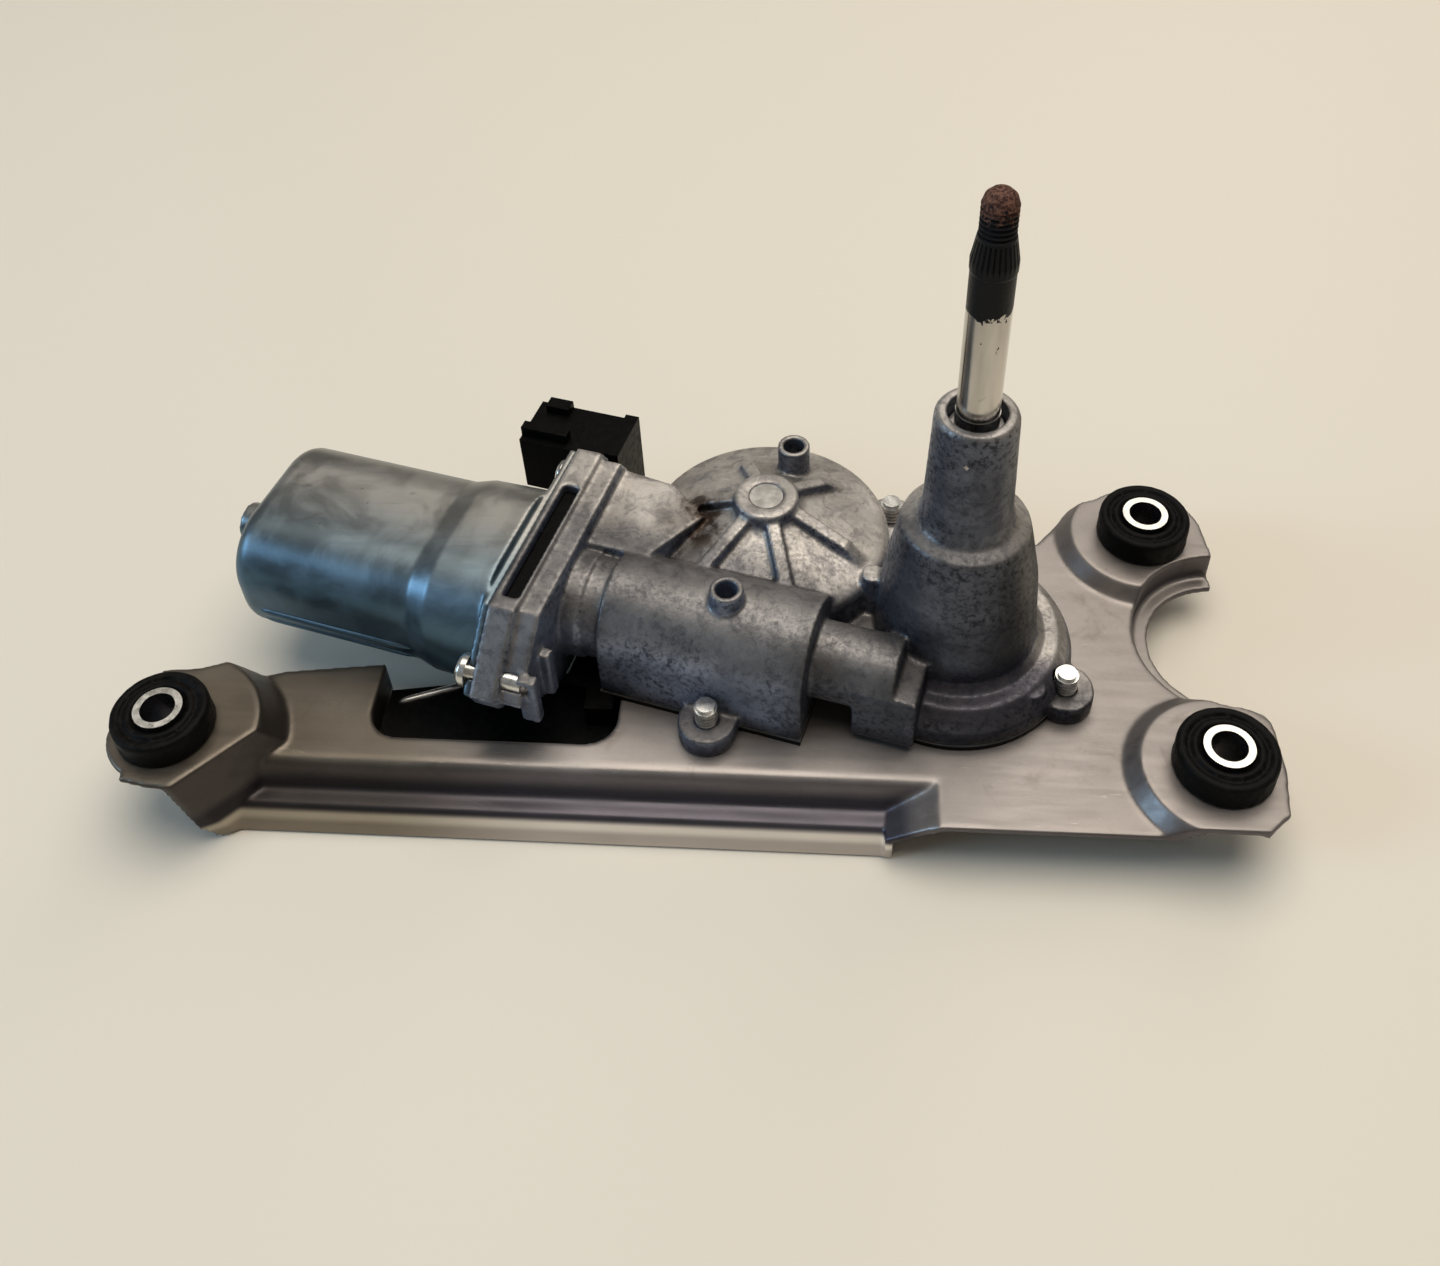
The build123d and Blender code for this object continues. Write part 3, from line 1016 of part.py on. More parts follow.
def sector_rod():
    """Rod from the crank pin, with the toothed sector at its other end."""
    outline = Pos(*CRANK_AT) * Circle(CRANK_EYE_RADIUS) + Pos(*SECTOR_AT) * Circle(SECTOR_EYE_RADIUS)
    arm = Rectangle(ROD_LENGTH, ROD_WIDTH, align=(Align.MIN, Align.CENTER))
    outline += Pos(*CRANK_AT) * Rot(0, 0, ROD_ANGLE) * arm
    toward = LINK_PARKED + 180
    half_pitch = 180 / SECTOR_TEETH
    turn = toward + half_pitch
    teeth = gear_outline(SECTOR_TEETH, GEAR_MODULE, GEAR_ADDENDUM, GEAR_DEDENDUM, GEAR_SLACK, turn)
    first, last = toward - SECTOR_MARGIN, toward + LINK_SWING + SECTOR_MARGIN
    wedge = [(0, 0)]
    for step in range(5):
        angle = radians(first + (last - first) * step / 4)
        wedge.append((SECTOR_CUT_RADIUS * cos(angle), SECTOR_CUT_RADIUS * sin(angle)))
    outline += Pos(*SECTOR_AT) * (teeth & flat(wedge))
    body = Pos(0, 0, ROD_BOTTOM) * extrude(outline, ROD_THICK)
    body -= post(CRANK_PIN_RADIUS, 0, ROD_TOP + 1, CRANK_AT)
    return body - post(SECTOR_PIN_RADIUS + RUNNING, 0, ROD_TOP + 1, SECTOR_AT)


def link_plate(low):
    """One link plate between the output shaft and the sector's pin."""
    outline = Circle(LINK_EYE_RADIUS) + Pos(*SECTOR_AT) * Circle(LINK_WIDTH / 2)
    arm = Rectangle(LINK_LENGTH, LINK_WIDTH, align=(Align.MIN, Align.CENTER))
    outline += Rot(0, 0, LINK_PARKED) * arm
    body = Pos(0, 0, low) * extrude(outline, LINK_THICK)
    body -= post(SHAFT_FOOT_RADIUS + RUNNING, low - 1, low + LINK_THICK + 1)
    return body - post(SECTOR_PIN_RADIUS, low - 1, low + LINK_THICK + 1, SECTOR_AT)


def sector_pin():
    """Pin that joins the two link plates and carries the sector."""
    return post(SECTOR_PIN_RADIUS, LINK_LOW_Z, LINK_HIGH_Z + LINK_THICK, SECTOR_AT)


def output_pinion():
    """Small steel gear pressed on the output shaft."""
    outline = gear_outline(PINION_TEETH, GEAR_MODULE, GEAR_ADDENDUM, GEAR_DEDENDUM, GEAR_SLACK, LINK_PARKED)
    body = Pos(0, 0, ROD_BOTTOM) * extrude(outline, ROD_THICK)
    return body - post(SHAFT_FOOT_RADIUS, 0, ROD_TOP + 1)


def output_shaft():
    """Output shaft: foot, journal, polished shank, serrated cone, thread and rounded tip."""
    foot, foot_neck = SHAFT_FOOT_RADIUS, SHAFT_FOOT_RADIUS - CLIP_GROOVE
    neck = JOURNAL_RADIUS - CLIP_GROOVE
    points = [(0, SHAFT_FOOT_Z), (foot_neck, SHAFT_FOOT_Z), (foot, SHAFT_FOOT_Z + CLIP_GROOVE),
              (foot, FOOT_CLIP_Z), (foot_neck, FOOT_CLIP_Z), (foot_neck, FOOT_CLIP_Z + CLIP_THICK),
              (foot, FOOT_CLIP_Z + CLIP_THICK), (foot, JOURNAL_LOW_Z), (JOURNAL_RADIUS, JOURNAL_LOW_Z),
              (JOURNAL_RADIUS, RING_Z), (neck, RING_Z), (neck, RING_Z + CLIP_THICK),
              (JOURNAL_RADIUS, RING_Z + CLIP_THICK), (JOURNAL_RADIUS, SHANK_FOOT), (SHANK_RADIUS, SHANK_FOOT),
              (SHANK_RADIUS, SPLINE_BOTTOM), (SPLINE_LOW_RADIUS, SPLINE_BOTTOM + SPLINE_CHAMFER),
              (SPLINE_LOW_RADIUS, SPLINE_BOTTOM + SPLINE_STRAIGHT), (SPLINE_HIGH_RADIUS, SPLINE_TOP)]
    turns = int((THREAD_TOP - SPLINE_TOP) / THREAD_PITCH)
    for turn in range(turns):
        low = SPLINE_TOP + turn * THREAD_PITCH
        points += [(THREAD_RADIUS - THREAD_DEPTH, low + THREAD_PITCH * 0.4),
                   (THREAD_RADIUS, low + THREAD_PITCH * 0.85), (THREAD_RADIUS, low + THREAD_PITCH)]
    tip_radius = THREAD_RADIUS - THREAD_DEPTH
    points += [(tip_radius, SHAFT_TOP - TIP_ROUND), (tip_radius - TIP_ROUND, SHAFT_TOP), (0, SHAFT_TOP)]
    body = upright(points)
    length = SPLINE_TOP - SPLINE_BOTTOM
    lean = degrees(atan2(SPLINE_LOW_RADIUS - SPLINE_HIGH_RADIUS, length - SPLINE_STRAIGHT))
    height = length - SPLINE_STRAIGHT / 2 - SPLINE_CHAMFER
    groove = Pos(SPLINE_GROOVE / 5, 0, -SPLINE_STRAIGHT / 2) * Rot(0, 0, 45)
    groove = groove * Box(SPLINE_GROOVE, SPLINE_GROOVE, height, align=UP)
    hinge = Pos(SPLINE_LOW_RADIUS, 0, SPLINE_BOTTOM + SPLINE_STRAIGHT) * Rot(0, -lean, 0)
    for index in range(SPLINE_COUNT):
        body -= Rot(0, 0, 360 / SPLINE_COUNT * index) * hinge * groove
    return body


def output_bush(low, high):
    """Sintered bush in the tower."""
    return ring(JOURNAL_RADIUS + BUSH_WALL, JOURNAL_RADIUS + RUNNING, low, high)


def shaft_seal():
    """Rubber ring under the tower's mouth."""
    return ring(TOWER_MOUTH_RADIUS, JOURNAL_RADIUS + RUNNING, SEAL_Z, SEAL_Z + SEAL_THICK)


def retaining_ring():
    """Snap ring on the shaft above the seal."""
    return ring(TOWER_MOUTH_RADIUS - 0.5, JOURNAL_RADIUS - CLIP_GROOVE, RING_Z, RING_Z + CLIP_THICK)


def thrust_washer():
    """Washer under the lower bush."""
    top = LOWER_BUSH[0]
    return ring(JOURNAL_RADIUS + BUSH_WALL - 0.1, JOURNAL_RADIUS + RUNNING, top - WASHER_THICK, top)


def foot_clip():
    """Snap ring on the shaft's foot, under the links."""
    return ring(SHAFT_FOOT_RADIUS + 2, SHAFT_FOOT_RADIUS - CLIP_GROOVE, FOOT_CLIP_Z, FOOT_CLIP_Z + CLIP_THICK)


def cover_plan():
    """Plan of the cover plate: the casting's foot with room for the lugs."""
    plan = casting_plan()
    for place in LUG_PLACES:
        plan -= Pos(*place) * Circle(LUG_RADIUS + PART_GAP)
    return plan


def terminal_blades():
    """The flat blades of the connector."""
    blades = []
    middle = (CONNECTOR_FRONT_U + CONNECTOR_BACK_U) / 2
    height = (CONNECTOR_TOP_Z + CONNECTOR_LOW_Z) / 2
    for index in range(TERMINAL_COUNT):
        across = middle + (index - (TERMINAL_COUNT - 1) / 2) * TERMINAL_PITCH
        low = (CONNECTOR_LEFT_S + 5, across - TERMINAL_WIDTH / 2, height - TERMINAL_THICK / 2)
        high = (CONNECTOR_RIGHT_S - 3, across + TERMINAL_WIDTH / 2, height + TERMINAL_THICK / 2)
        blades.append(along_motor(block(low, high)))
    return blades


def connector_body():
    """Socket housing behind the motor flange, with its key ribs and the foot under it."""
    left, right, wall = CONNECTOR_LEFT_S, CONNECTOR_RIGHT_S, CONNECTOR_WALL
    front, back, low, top = CONNECTOR_FRONT_U, CONNECTOR_BACK_U, CONNECTOR_LOW_Z, CONNECTOR_TOP_Z
    body = block((left, front, low), (right, back, top))
    body -= block((left - 1, front + wall, low + wall), (left + SOCKET_DEPTH, back - wall, top - wall))
    body += block((left, front + 2, top), (left + KEY_LENGTH, front + 2 + KEY_HEIGHT, top + KEY_HEIGHT))
    body += block((left + 3, back - 4, top), (left + KEY_LENGTH - 4, back, top + KEY_HEIGHT - 0.5))
    body += block((right - 4, front, top), (right, back, top + KEY_HEIGHT / 2))
    body += block((right - CONNECTOR_FOOT, front, -LIP_DROP), (right, back, low + 1))
    arm = block((right - 1, front, 0), (TUBE_LEFT_S + POST_FOOT, back - 4, low - 1))
    return along_motor(body + arm)


def pocket_shield():
    """Plastic tray that fills the bracket's recess under the motor flange, with the neck that holds it."""
    left, right, front = POCKET_LEFT_X + SHIELD_GAP, POCKET_RIGHT_X - SHIELD_GAP, POCKET_FRONT_Y + SHIELD_GAP
    points = [(left, SHIELD_BACK_Y - 10), (left, front), (right, front), (right, SHIELD_BACK_Y)]
    corner = POCKET_CORNER - SHIELD_GAP
    plan = rounded(points, [0, corner, corner, 0])
    tray = Pos(0, 0, POCKET_FLOOR_Z + PART_GAP) * extrude(plan, SHIELD_TOP_Z - POCKET_FLOOR_Z - PART_GAP)
    neck = block((right - CONNECTOR_FOOT / 2, front + POCKET_CORNER, SHIELD_TOP_Z - 1),
                 (right, SHIELD_BACK_Y, COVER_THICK))
    return tray + neck


def gear_cover():
    """Black plastic cover under the casting, with the shaft's foot cup and the connector on an arm."""
    body = extrude(cover_plan(), COVER_THICK)
    body += connector_body() - post(CHAMBER_RADIUS + PART_GAP, COVER_THICK, CONNECTOR_TOP_Z, WHEEL_AT)
    tongue = block((FLANGE_RIGHT_S + 0.5, TUBE_WALL_U, 0), (TUBE_LEFT_S + 1, MOTOR_U + 15, COVER_THICK))
    body += along_motor(tongue)
    body += pocket_shield()
    body += post(FOOT_CUP_RADIUS, -LIP_DROP, COVER_THICK / 2)
    body -= post(FOOT_CUP_BORE, -LIP_DROP + SHEET, COVER_THICK + 1)
    for place in cover_screw_places():
        body -= post(SMALL_SCREW_RADIUS, -1, COVER_THICK + 1, place)
    for blade in terminal_blades():
        body -= blade
    return body


def connector_terminals():
    """Tinned blades in the connector."""
    return Compound(children=terminal_blades())


def cover_gasket():
    """Thin gasket between the cover and the casting's foot."""
    plan = cover_plan()
    plan -= Pos(*WHEEL_AT) * Circle(CHAMBER_RADIUS - CHAMBER_WALL)
    plan -= Circle(LOW_RADIUS - LOW_WALL)
    plan -= channel_outline(0)
    for place in cover_screw_places():
        plan -= Pos(*place) * Circle(SMALL_BOSS_RADIUS + PART_GAP)
    return Pos(0, 0, COVER_THICK) * extrude(plan, CASTING_BOTTOM - COVER_THICK)


def cover_screws():
    """Four small screws that hold the cover to the casting."""
    body = [screw(SMALL_SCREW_RADIUS - SCREW_FIT, 2 * SMALL_SCREW_RADIUS, SHEET, 0, LOW_TOP_Z - 4, place)
            for place in cover_screw_places()]
    return Compound(children=body)


def write_all():
    """Write every piece."""
    save("bracket", bracket())
    for name, centre, rise in (("front", EAR_FRONT, EAR_RISE), ("rear", EAR_REAR, EAR_RISE),
                               ("left", EAR_LEFT, LEFT_EAR_RISE)):
        save("grommet_" + name, grommet(centre, rise))
        save("sleeve_" + name, sleeve(centre, rise))
    boxes, brushes, springs = brush_parts()
    pieces = {
        "gear_housing": gear_housing(), "bracket_screws": bracket_screws(), "motor_can": motor_can(),
        "can_screws": can_screws(), "can_end_bush": can_end_bush(), "magnets": magnets(),
        "magnet_clips": magnet_clips(), "armature_shaft": armature_shaft(), "armature_core": armature_core(),
        "armature_windings": armature_windings(), "commutator": commutator(),
        "front_bearing": front_bearing(),
        "worm_end_bush": worm_end_bush(), "thrust_pad": thrust_pad(), "brush_plate": brush_plate(),
        "brush_boxes": boxes, "brushes": brushes, "brush_springs": springs, "choke_coils": choke_coils(),
        "worm_wheel": worm_wheel(), "wheel_pin": wheel_pin(), "wheel_clip": wheel_clip(),
        "contact_plate": contact_plate(), "park_contacts": park_contacts(), "crank_pin": crank_pin(),
        "sector_rod": sector_rod(), "link_plate_lower": link_plate(LINK_LOW_Z),
        "link_plate_upper": link_plate(LINK_HIGH_Z), "sector_pin": sector_pin(),
        "output_pinion": output_pinion(), "output_shaft": output_shaft(),
        "output_bush_lower": output_bush(*LOWER_BUSH), "output_bush_upper": output_bush(*UPPER_BUSH),
        "shaft_seal": shaft_seal(), "retaining_ring": retaining_ring(), "thrust_washer": thrust_washer(),
        "foot_clip": foot_clip(), "gear_cover": gear_cover(), "connector_terminals": connector_terminals(),
        "cover_gasket": cover_gasket(), "cover_screws": cover_screws(),
    }
    for name, shape in pieces.items():
        save(name, shape)


write_all()
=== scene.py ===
# %% [markdown]
# # A rear wiper motor on its bracket
# The real object is a pressed steel bracket with three rubber-mounted ears. A die-cast gear housing stands
# on it, with a drawn steel motor can at the left and a tall wiper shaft at the right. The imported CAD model
# already has every piece in its place, so this lesson loads it as a fixed frame and spends its effort on
# surfaces: soft bends, cast skin, zinc plate, rubber, black plastic and a worn, greasy shaft tip.

import math
import random

import bpy
from mathutils import Matrix, Vector


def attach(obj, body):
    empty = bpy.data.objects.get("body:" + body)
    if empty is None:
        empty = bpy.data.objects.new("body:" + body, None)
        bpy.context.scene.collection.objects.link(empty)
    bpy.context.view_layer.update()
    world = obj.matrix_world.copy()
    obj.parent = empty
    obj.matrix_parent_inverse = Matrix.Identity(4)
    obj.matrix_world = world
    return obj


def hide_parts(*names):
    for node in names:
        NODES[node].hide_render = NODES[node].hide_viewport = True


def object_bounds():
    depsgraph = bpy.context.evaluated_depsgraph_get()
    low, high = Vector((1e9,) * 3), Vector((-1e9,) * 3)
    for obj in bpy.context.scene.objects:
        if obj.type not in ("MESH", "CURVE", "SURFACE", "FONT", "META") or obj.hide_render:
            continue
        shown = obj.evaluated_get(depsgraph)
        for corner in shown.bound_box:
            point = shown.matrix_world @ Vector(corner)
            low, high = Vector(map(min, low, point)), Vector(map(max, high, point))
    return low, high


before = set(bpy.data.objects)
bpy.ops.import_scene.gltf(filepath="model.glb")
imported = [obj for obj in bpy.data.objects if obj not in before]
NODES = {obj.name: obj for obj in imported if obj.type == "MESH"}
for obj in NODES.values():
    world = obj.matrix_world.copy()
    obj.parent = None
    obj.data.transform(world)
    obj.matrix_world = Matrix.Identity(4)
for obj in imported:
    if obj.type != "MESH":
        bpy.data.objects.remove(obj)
CAD_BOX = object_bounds()
MM = 0.001
print("loaded", len(NODES), "nodes; box", [[round(v, 4) for v in corner] for corner in CAD_BOX])

# %% [markdown]
# ## Camera
# The photograph was taken by hand from above the front rail, a little to the left of the shaft. Its place
# was solved from the round rims of the ears, the tower and the gear chamber, so it is written here as a
# position and two directions. Blender's camera looks along its own minus Z, so the three axes go into a
# matrix as columns.

# %% Place the camera
EYE = Vector((-33.1, -243.2, 222.3)) * MM
LOOK = Vector((-0.0774, 0.7390, -0.6712))
RIGHT = Vector((0.9993, 0.0696, -0.0385))
IMAGE_WIDTH, IMAGE_HEIGHT = 1440, 1266
FOCAL_PIXELS = 1439.67
PRINCIPAL_ROW = 399.85
SENSOR_WIDTH = 36.0
CLIP_NEAR, CLIP_FAR = 0.01, 20.0


def make_camera():
    data = bpy.data.cameras.new("camera")
    data.sensor_fit = "HORIZONTAL"
    data.sensor_width = SENSOR_WIDTH
    data.lens = FOCAL_PIXELS * SENSOR_WIDTH / IMAGE_WIDTH
    data.shift_y = (PRINCIPAL_ROW - IMAGE_HEIGHT / 2) / IMAGE_WIDTH
    data.clip_start, data.clip_end = CLIP_NEAR, CLIP_FAR
    camera = bpy.data.objects.new("camera", data)
    back = -LOOK.normalized()
    up = back.cross(RIGHT).normalized()
    side = up.cross(back)
    turn = Matrix((side, up, back)).transposed().to_4x4()
    camera.matrix_world = Matrix.Translation(EYE) @ turn
    bpy.context.scene.collection.objects.link(camera)
    bpy.context.scene.camera = camera


make_camera()
print("camera", [round(v, 3) for v in EYE])

# %% [markdown]
# ## Table and light
# The motor lies on a pale cream table in broad, soft daylight. One large plane is enough for the table,
# because its colour is what matters. Three wide lamps stand in for the room: a warm one overhead, a cooler
# one at the left as a window, and a weak one behind. Wide lamps give the soft-edged shadow that the
# photograph shows. The room itself adds an even, weak light, and the camera sees it as a pale backdrop.

# %% Set the table and the lamps
FLOOR_Z = CAD_BOX[0][2]
TABLE_SIZE, TABLE_GAP = 8.0, 0.0002
TABLE_COLOUR, TABLE_ROUGHNESS = (0.77, 0.715, 0.61), 0.55
TARGET = Vector((-60.0, 0.0, -60.0)) * MM
# Each lamp has a place and a diameter in metres, a power in watts and a colour.
LAMPS = {
    "ceiling_light": ((0.1, 0.3, 1.6), 1.9, 27.0, (1.0, 0.935, 0.85)),
    "window_light": ((-1.3, -0.35, 0.6), 0.6, 6.0, (0.42, 0.7, 1.0)),
    "back_light": ((0.5, 1.4, 0.9), 0.8, 3.0, (1.0, 0.95, 0.88)),
}
ROOM_COLOUR, ROOM_LIGHT, ROOM_BACKDROP = (0.86, 0.82, 0.76), 0.2, 0.9


def make_table():
    bpy.ops.mesh.primitive_plane_add(size=TABLE_SIZE, location=(0, 0, FLOOR_Z - TABLE_GAP))
    table = bpy.context.object
    table.name = "table_top"
    finish = bpy.data.materials.new("cream_table")
    finish.use_nodes = True
    shader = finish.node_tree.nodes["Principled BSDF"]
    shader.inputs["Base Color"].default_value = (*TABLE_COLOUR, 1)
    shader.inputs["Roughness"].default_value = TABLE_ROUGHNESS
    table.data.materials.append(finish)


def make_lamp(name, place, size, power, colour):
    data = bpy.data.lights.new(name, "AREA")
    data.shape, data.size = "DISK", size
    data.energy, data.color = power, colour
    lamp = bpy.data.objects.new(name, data)
    lamp.location = place
    lamp.rotation_euler = (TARGET - Vector(place)).to_track_quat("-Z", "Y").to_euler()
    bpy.context.scene.collection.objects.link(lamp)


def make_room(colour, light, backdrop):
    """An even, weak room light, which the camera sees as a pale backdrop."""
    room = bpy.data.worlds.new("room")
    bpy.context.scene.world = room
    room.use_nodes = True
    tree = room.node_tree
    background = tree.nodes["Background"]
    background.inputs["Color"].default_value = (*colour, 1)
    seen = tree.nodes.new("ShaderNodeLightPath").outputs["Is Camera Ray"]
    strength = tree.nodes.new("ShaderNodeMapRange")
    strength.inputs["To Min"].default_value, strength.inputs["To Max"].default_value = light, backdrop
    tree.links.new(seen, strength.inputs["Value"])
    tree.links.new(strength.outputs["Result"], background.inputs["Strength"])


make_table()
for name, settings in LAMPS.items():
    make_lamp(name, *settings)
make_room(ROOM_COLOUR, ROOM_LIGHT, ROOM_BACKDROP)
bpy.context.scene.view_settings.view_transform = "Standard"
print("table at", round(FLOOR_Z, 4))

# %% [markdown]
# ## A small kit for finishes
# Every finish here is a tree of nodes on the object's own coordinates, taken in millimetres, so that a
# grain of 0.4 mm is 0.4 mm wherever it lies. A few helpers keep the trees short: a noise, a ramp that turns
# it into a mask, a mix of two colours, and a bump. Masks also come from places: from a band along one axis,
# from the distance to a point, from edges, and from what faces up. The motor lies at an angle on the
# bracket, so some of the coordinates are turned to follow it.

# %% Helpers for node trees
DECK = -88.5
MOTOR_TURN = math.radians(-14.5)
EVEN = (1, 1, 1)
MIX_FACTOR, MIX_FIRST, MIX_SECOND, MIX_RESULT = 0, 6, 7, 2


class Finish:
    """One material with a Principled shader and a few short calls that add nodes."""

    def __init__(self, name, roughness, metallic=0.0, specular=0.5):
        self.material = bpy.data.materials.new(name)
        self.material.use_nodes = True
        self.tree = self.material.node_tree
        self.shader = self.tree.nodes["Principled BSDF"]
        self.shader.inputs["Metallic"].default_value = metallic
        self.shader.inputs["Roughness"].default_value = roughness
        self.shader.inputs["Specular IOR Level"].default_value = specular
        self.place = self.node("ShaderNodeTexCoord").outputs["Object"]

    def node(self, kind, **settings):
        made = self.tree.nodes.new(kind)
        for key, value in settings.items():
            setattr(made, key, value)
        return made

    def link(self, source, target):
        """Set a socket to a number or a colour, or link it to an output."""
        if isinstance(source, (int, float)):
            target.default_value = source
        elif isinstance(source, tuple):
            target.default_value = (*source, 1.0)
        else:
            self.tree.links.new(source, target)

    def mapped(self, stretch=EVEN, turn=(0, 0, 0)):
        """Object coordinates in millimetres, stretched or turned."""
        made = self.node("ShaderNodeMapping")
        self.link(self.place, made.inputs["Vector"])
        made.inputs["Scale"].default_value = [s / MM for s in stretch]
        made.inputs["Rotation"].default_value = turn
        return made.outputs["Vector"]

    def on_motor(self, stretch=EVEN):
        """Object coordinates turned so that X runs along the motor."""
        return self.mapped(stretch, (0, 0, -MOTOR_TURN))

    def noise(self, size, detail=4.0, rough=0.6, distortion=0.0, vector=None):
        """Noise with features of about this size in millimetres."""
        made = self.node("ShaderNodeTexNoise")
        self.link(vector or self.mapped(), made.inputs["Vector"])
        made.inputs["Scale"].default_value = 1.0 / size
        made.inputs["Detail"].default_value = detail
        made.inputs["Roughness"].default_value = rough
        made.inputs["Distortion"].default_value = distortion
        return made.outputs["Fac"]

    def ramp(self, value, low, high, bottom=0.0, top=1.0):
        """Stretch a value between two limits to a mask."""
        made = self.node("ShaderNodeMapRange", interpolation_type="SMOOTHSTEP")
        self.link(value, made.inputs["Value"])
        for key, number in (("From Min", low), ("From Max", high), ("To Min", bottom), ("To Max", top)):
            made.inputs[key].default_value = number
        return made.outputs["Result"]

    def maths(self, operation, first, second):
        made = self.node("ShaderNodeMath", operation=operation)
        self.link(first, made.inputs[0])
        self.link(second, made.inputs[1])
        return made.outputs["Value"]

    def times(self, first, second):
        return self.maths("MULTIPLY", first, second)

    def plus(self, first, second):
        return self.maths("ADD", first, second)

    def larger(self, first, second):
        return self.maths("MAXIMUM", first, second)

    def inverse(self, mask):
        return self.maths("SUBTRACT", 1.0, mask)

    def mix(self, mask, first, second, blend="MIX"):
        made = self.node("ShaderNodeMix", data_type="RGBA", blend_type=blend)
        self.link(mask, made.inputs[MIX_FACTOR])
        self.link(first, made.inputs[MIX_FIRST])
        self.link(second, made.inputs[MIX_SECOND])
        return made.outputs[MIX_RESULT]

    def shade(self, mask, colour, tint):
        """Multiply a colour by a tint where the mask is white."""
        return self.mix(mask, colour, tint, "MULTIPLY")

    def axis(self, name, vector=None):
        """One coordinate in millimetres."""
        made = self.node("ShaderNodeSeparateXYZ")
        self.link(vector or self.mapped(), made.inputs["Vector"])
        return made.outputs[name]

    def band(self, name, limits, vector=None):
        """A mask that grows from 0 at the first limit to 1 at the second, along one axis."""
        return self.ramp(self.axis(name, vector), *limits)

    def near(self, centre, limits, stretch=EVEN):
        """A mask that grows towards a place, between two distances in millimetres."""
        made = self.node("ShaderNodeVectorMath", operation="DISTANCE")
        self.link(self.mapped(stretch), made.inputs[0])
        made.inputs[1].default_value = centre
        return self.ramp(made.outputs["Value"], *limits)

    def edges(self, low, high):
        """A mask of convex edges, or of seams where the second limit is below the first."""
        made = self.node("ShaderNodeNewGeometry")
        return self.ramp(made.outputs["Pointiness"], low, high)

    def facing_up(self, low=0.3, high=0.9):
        """A mask of what faces up, where dust settles; its inverse also marks steep faces for painted shade.
        """
        made = self.node("ShaderNodeNewGeometry")
        return self.ramp(self.axis("Z", made.outputs["Normal"]), low, high)

    def colour(self, value):
        self.link(value, self.shader.inputs["Base Color"])

    def rough(self, value):
        self.link(value, self.shader.inputs["Roughness"])

    def metal(self, value):
        self.link(value, self.shader.inputs["Metallic"])

    def bump(self, height, strength, depth, under=None):
        """Bump of this depth in millimetres; bumps can be stacked."""
        made = self.node("ShaderNodeBump")
        made.inputs["Strength"].default_value = strength
        made.inputs["Distance"].default_value = depth * MM
        self.link(height, made.inputs["Height"])
        if under:
            self.link(under, made.inputs["Normal"])
        self.link(made.outputs["Normal"], self.shader.inputs["Normal"])
        return made.outputs["Normal"]


print("finish helpers ready")

# %% [markdown]
# ## Coated sheet steel
# The bracket is pressed from sheet and has a satin, warm grey coating. Straight from the press it carries
# faint stretch marks, small scratches and darker, greasy patches. Painted shade darkens its bent walls, the
# band under the rail's lip and the trough behind the rail, and a painted highlight lightens the rail's lip.
# The colour is darker towards the left end, and painted shade dims the right end, where the ceiling lamp
# reflects. The limits of each band are in millimetres, counted from the bracket's deck where they are
# heights.

# %% Finish for the bracket
# The lip's colour is a painted highlight; the rest are the sheet's own colours.
SHEET = {
    "dark": (0.3, 0.272, 0.254), "light": (0.375, 0.341, 0.32), "specks": (0.22, 0.19, 0.17),
    "grime": (0.15, 0.12, 0.095), "scratches": (0.5, 0.46, 0.43), "edges": (0.55, 0.5, 0.46),
    "lip": (0.93, 0.87, 0.81),
}
# Tints: painted shade for the walls, under the lip, in the trough and on the right end; the left end is only
# darker.
SHEET_SHADES = {
    "shaded_walls": (0.45, 0.45, 0.52), "under_lip": (0.58, 0.56, 0.56), "shaded_trough": (0.3, 0.3, 0.37),
    "left_end": (0.46, 0.43, 0.36), "shaded_right_end": (0.78, 0.77, 0.76),
}
LIP_HIGHLIGHT_Z, SHADE_UNDER_LIP_Z = (DECK - 8.5, DECK - 10.5), (DECK - 11.0, DECK - 13.0)
SHADED_TROUGH_Z, SHADED_TROUGH_Y = (DECK - 2.5, DECK - 6.0), (-39.0, -42.0)
LEFT_END_X, SHADED_RIGHT_END_X = (-95.0, -150.0), (-10.0, 50.0)
LIP_HIGHLIGHT_SHARE = 0.95
DRAWN_STRETCH = (0.12, 1.0, 1.0)
SCRATCH_STRETCH, SCRATCH_TURN = (0.2, 1.3, 1.0), (0, 0, 0.5)


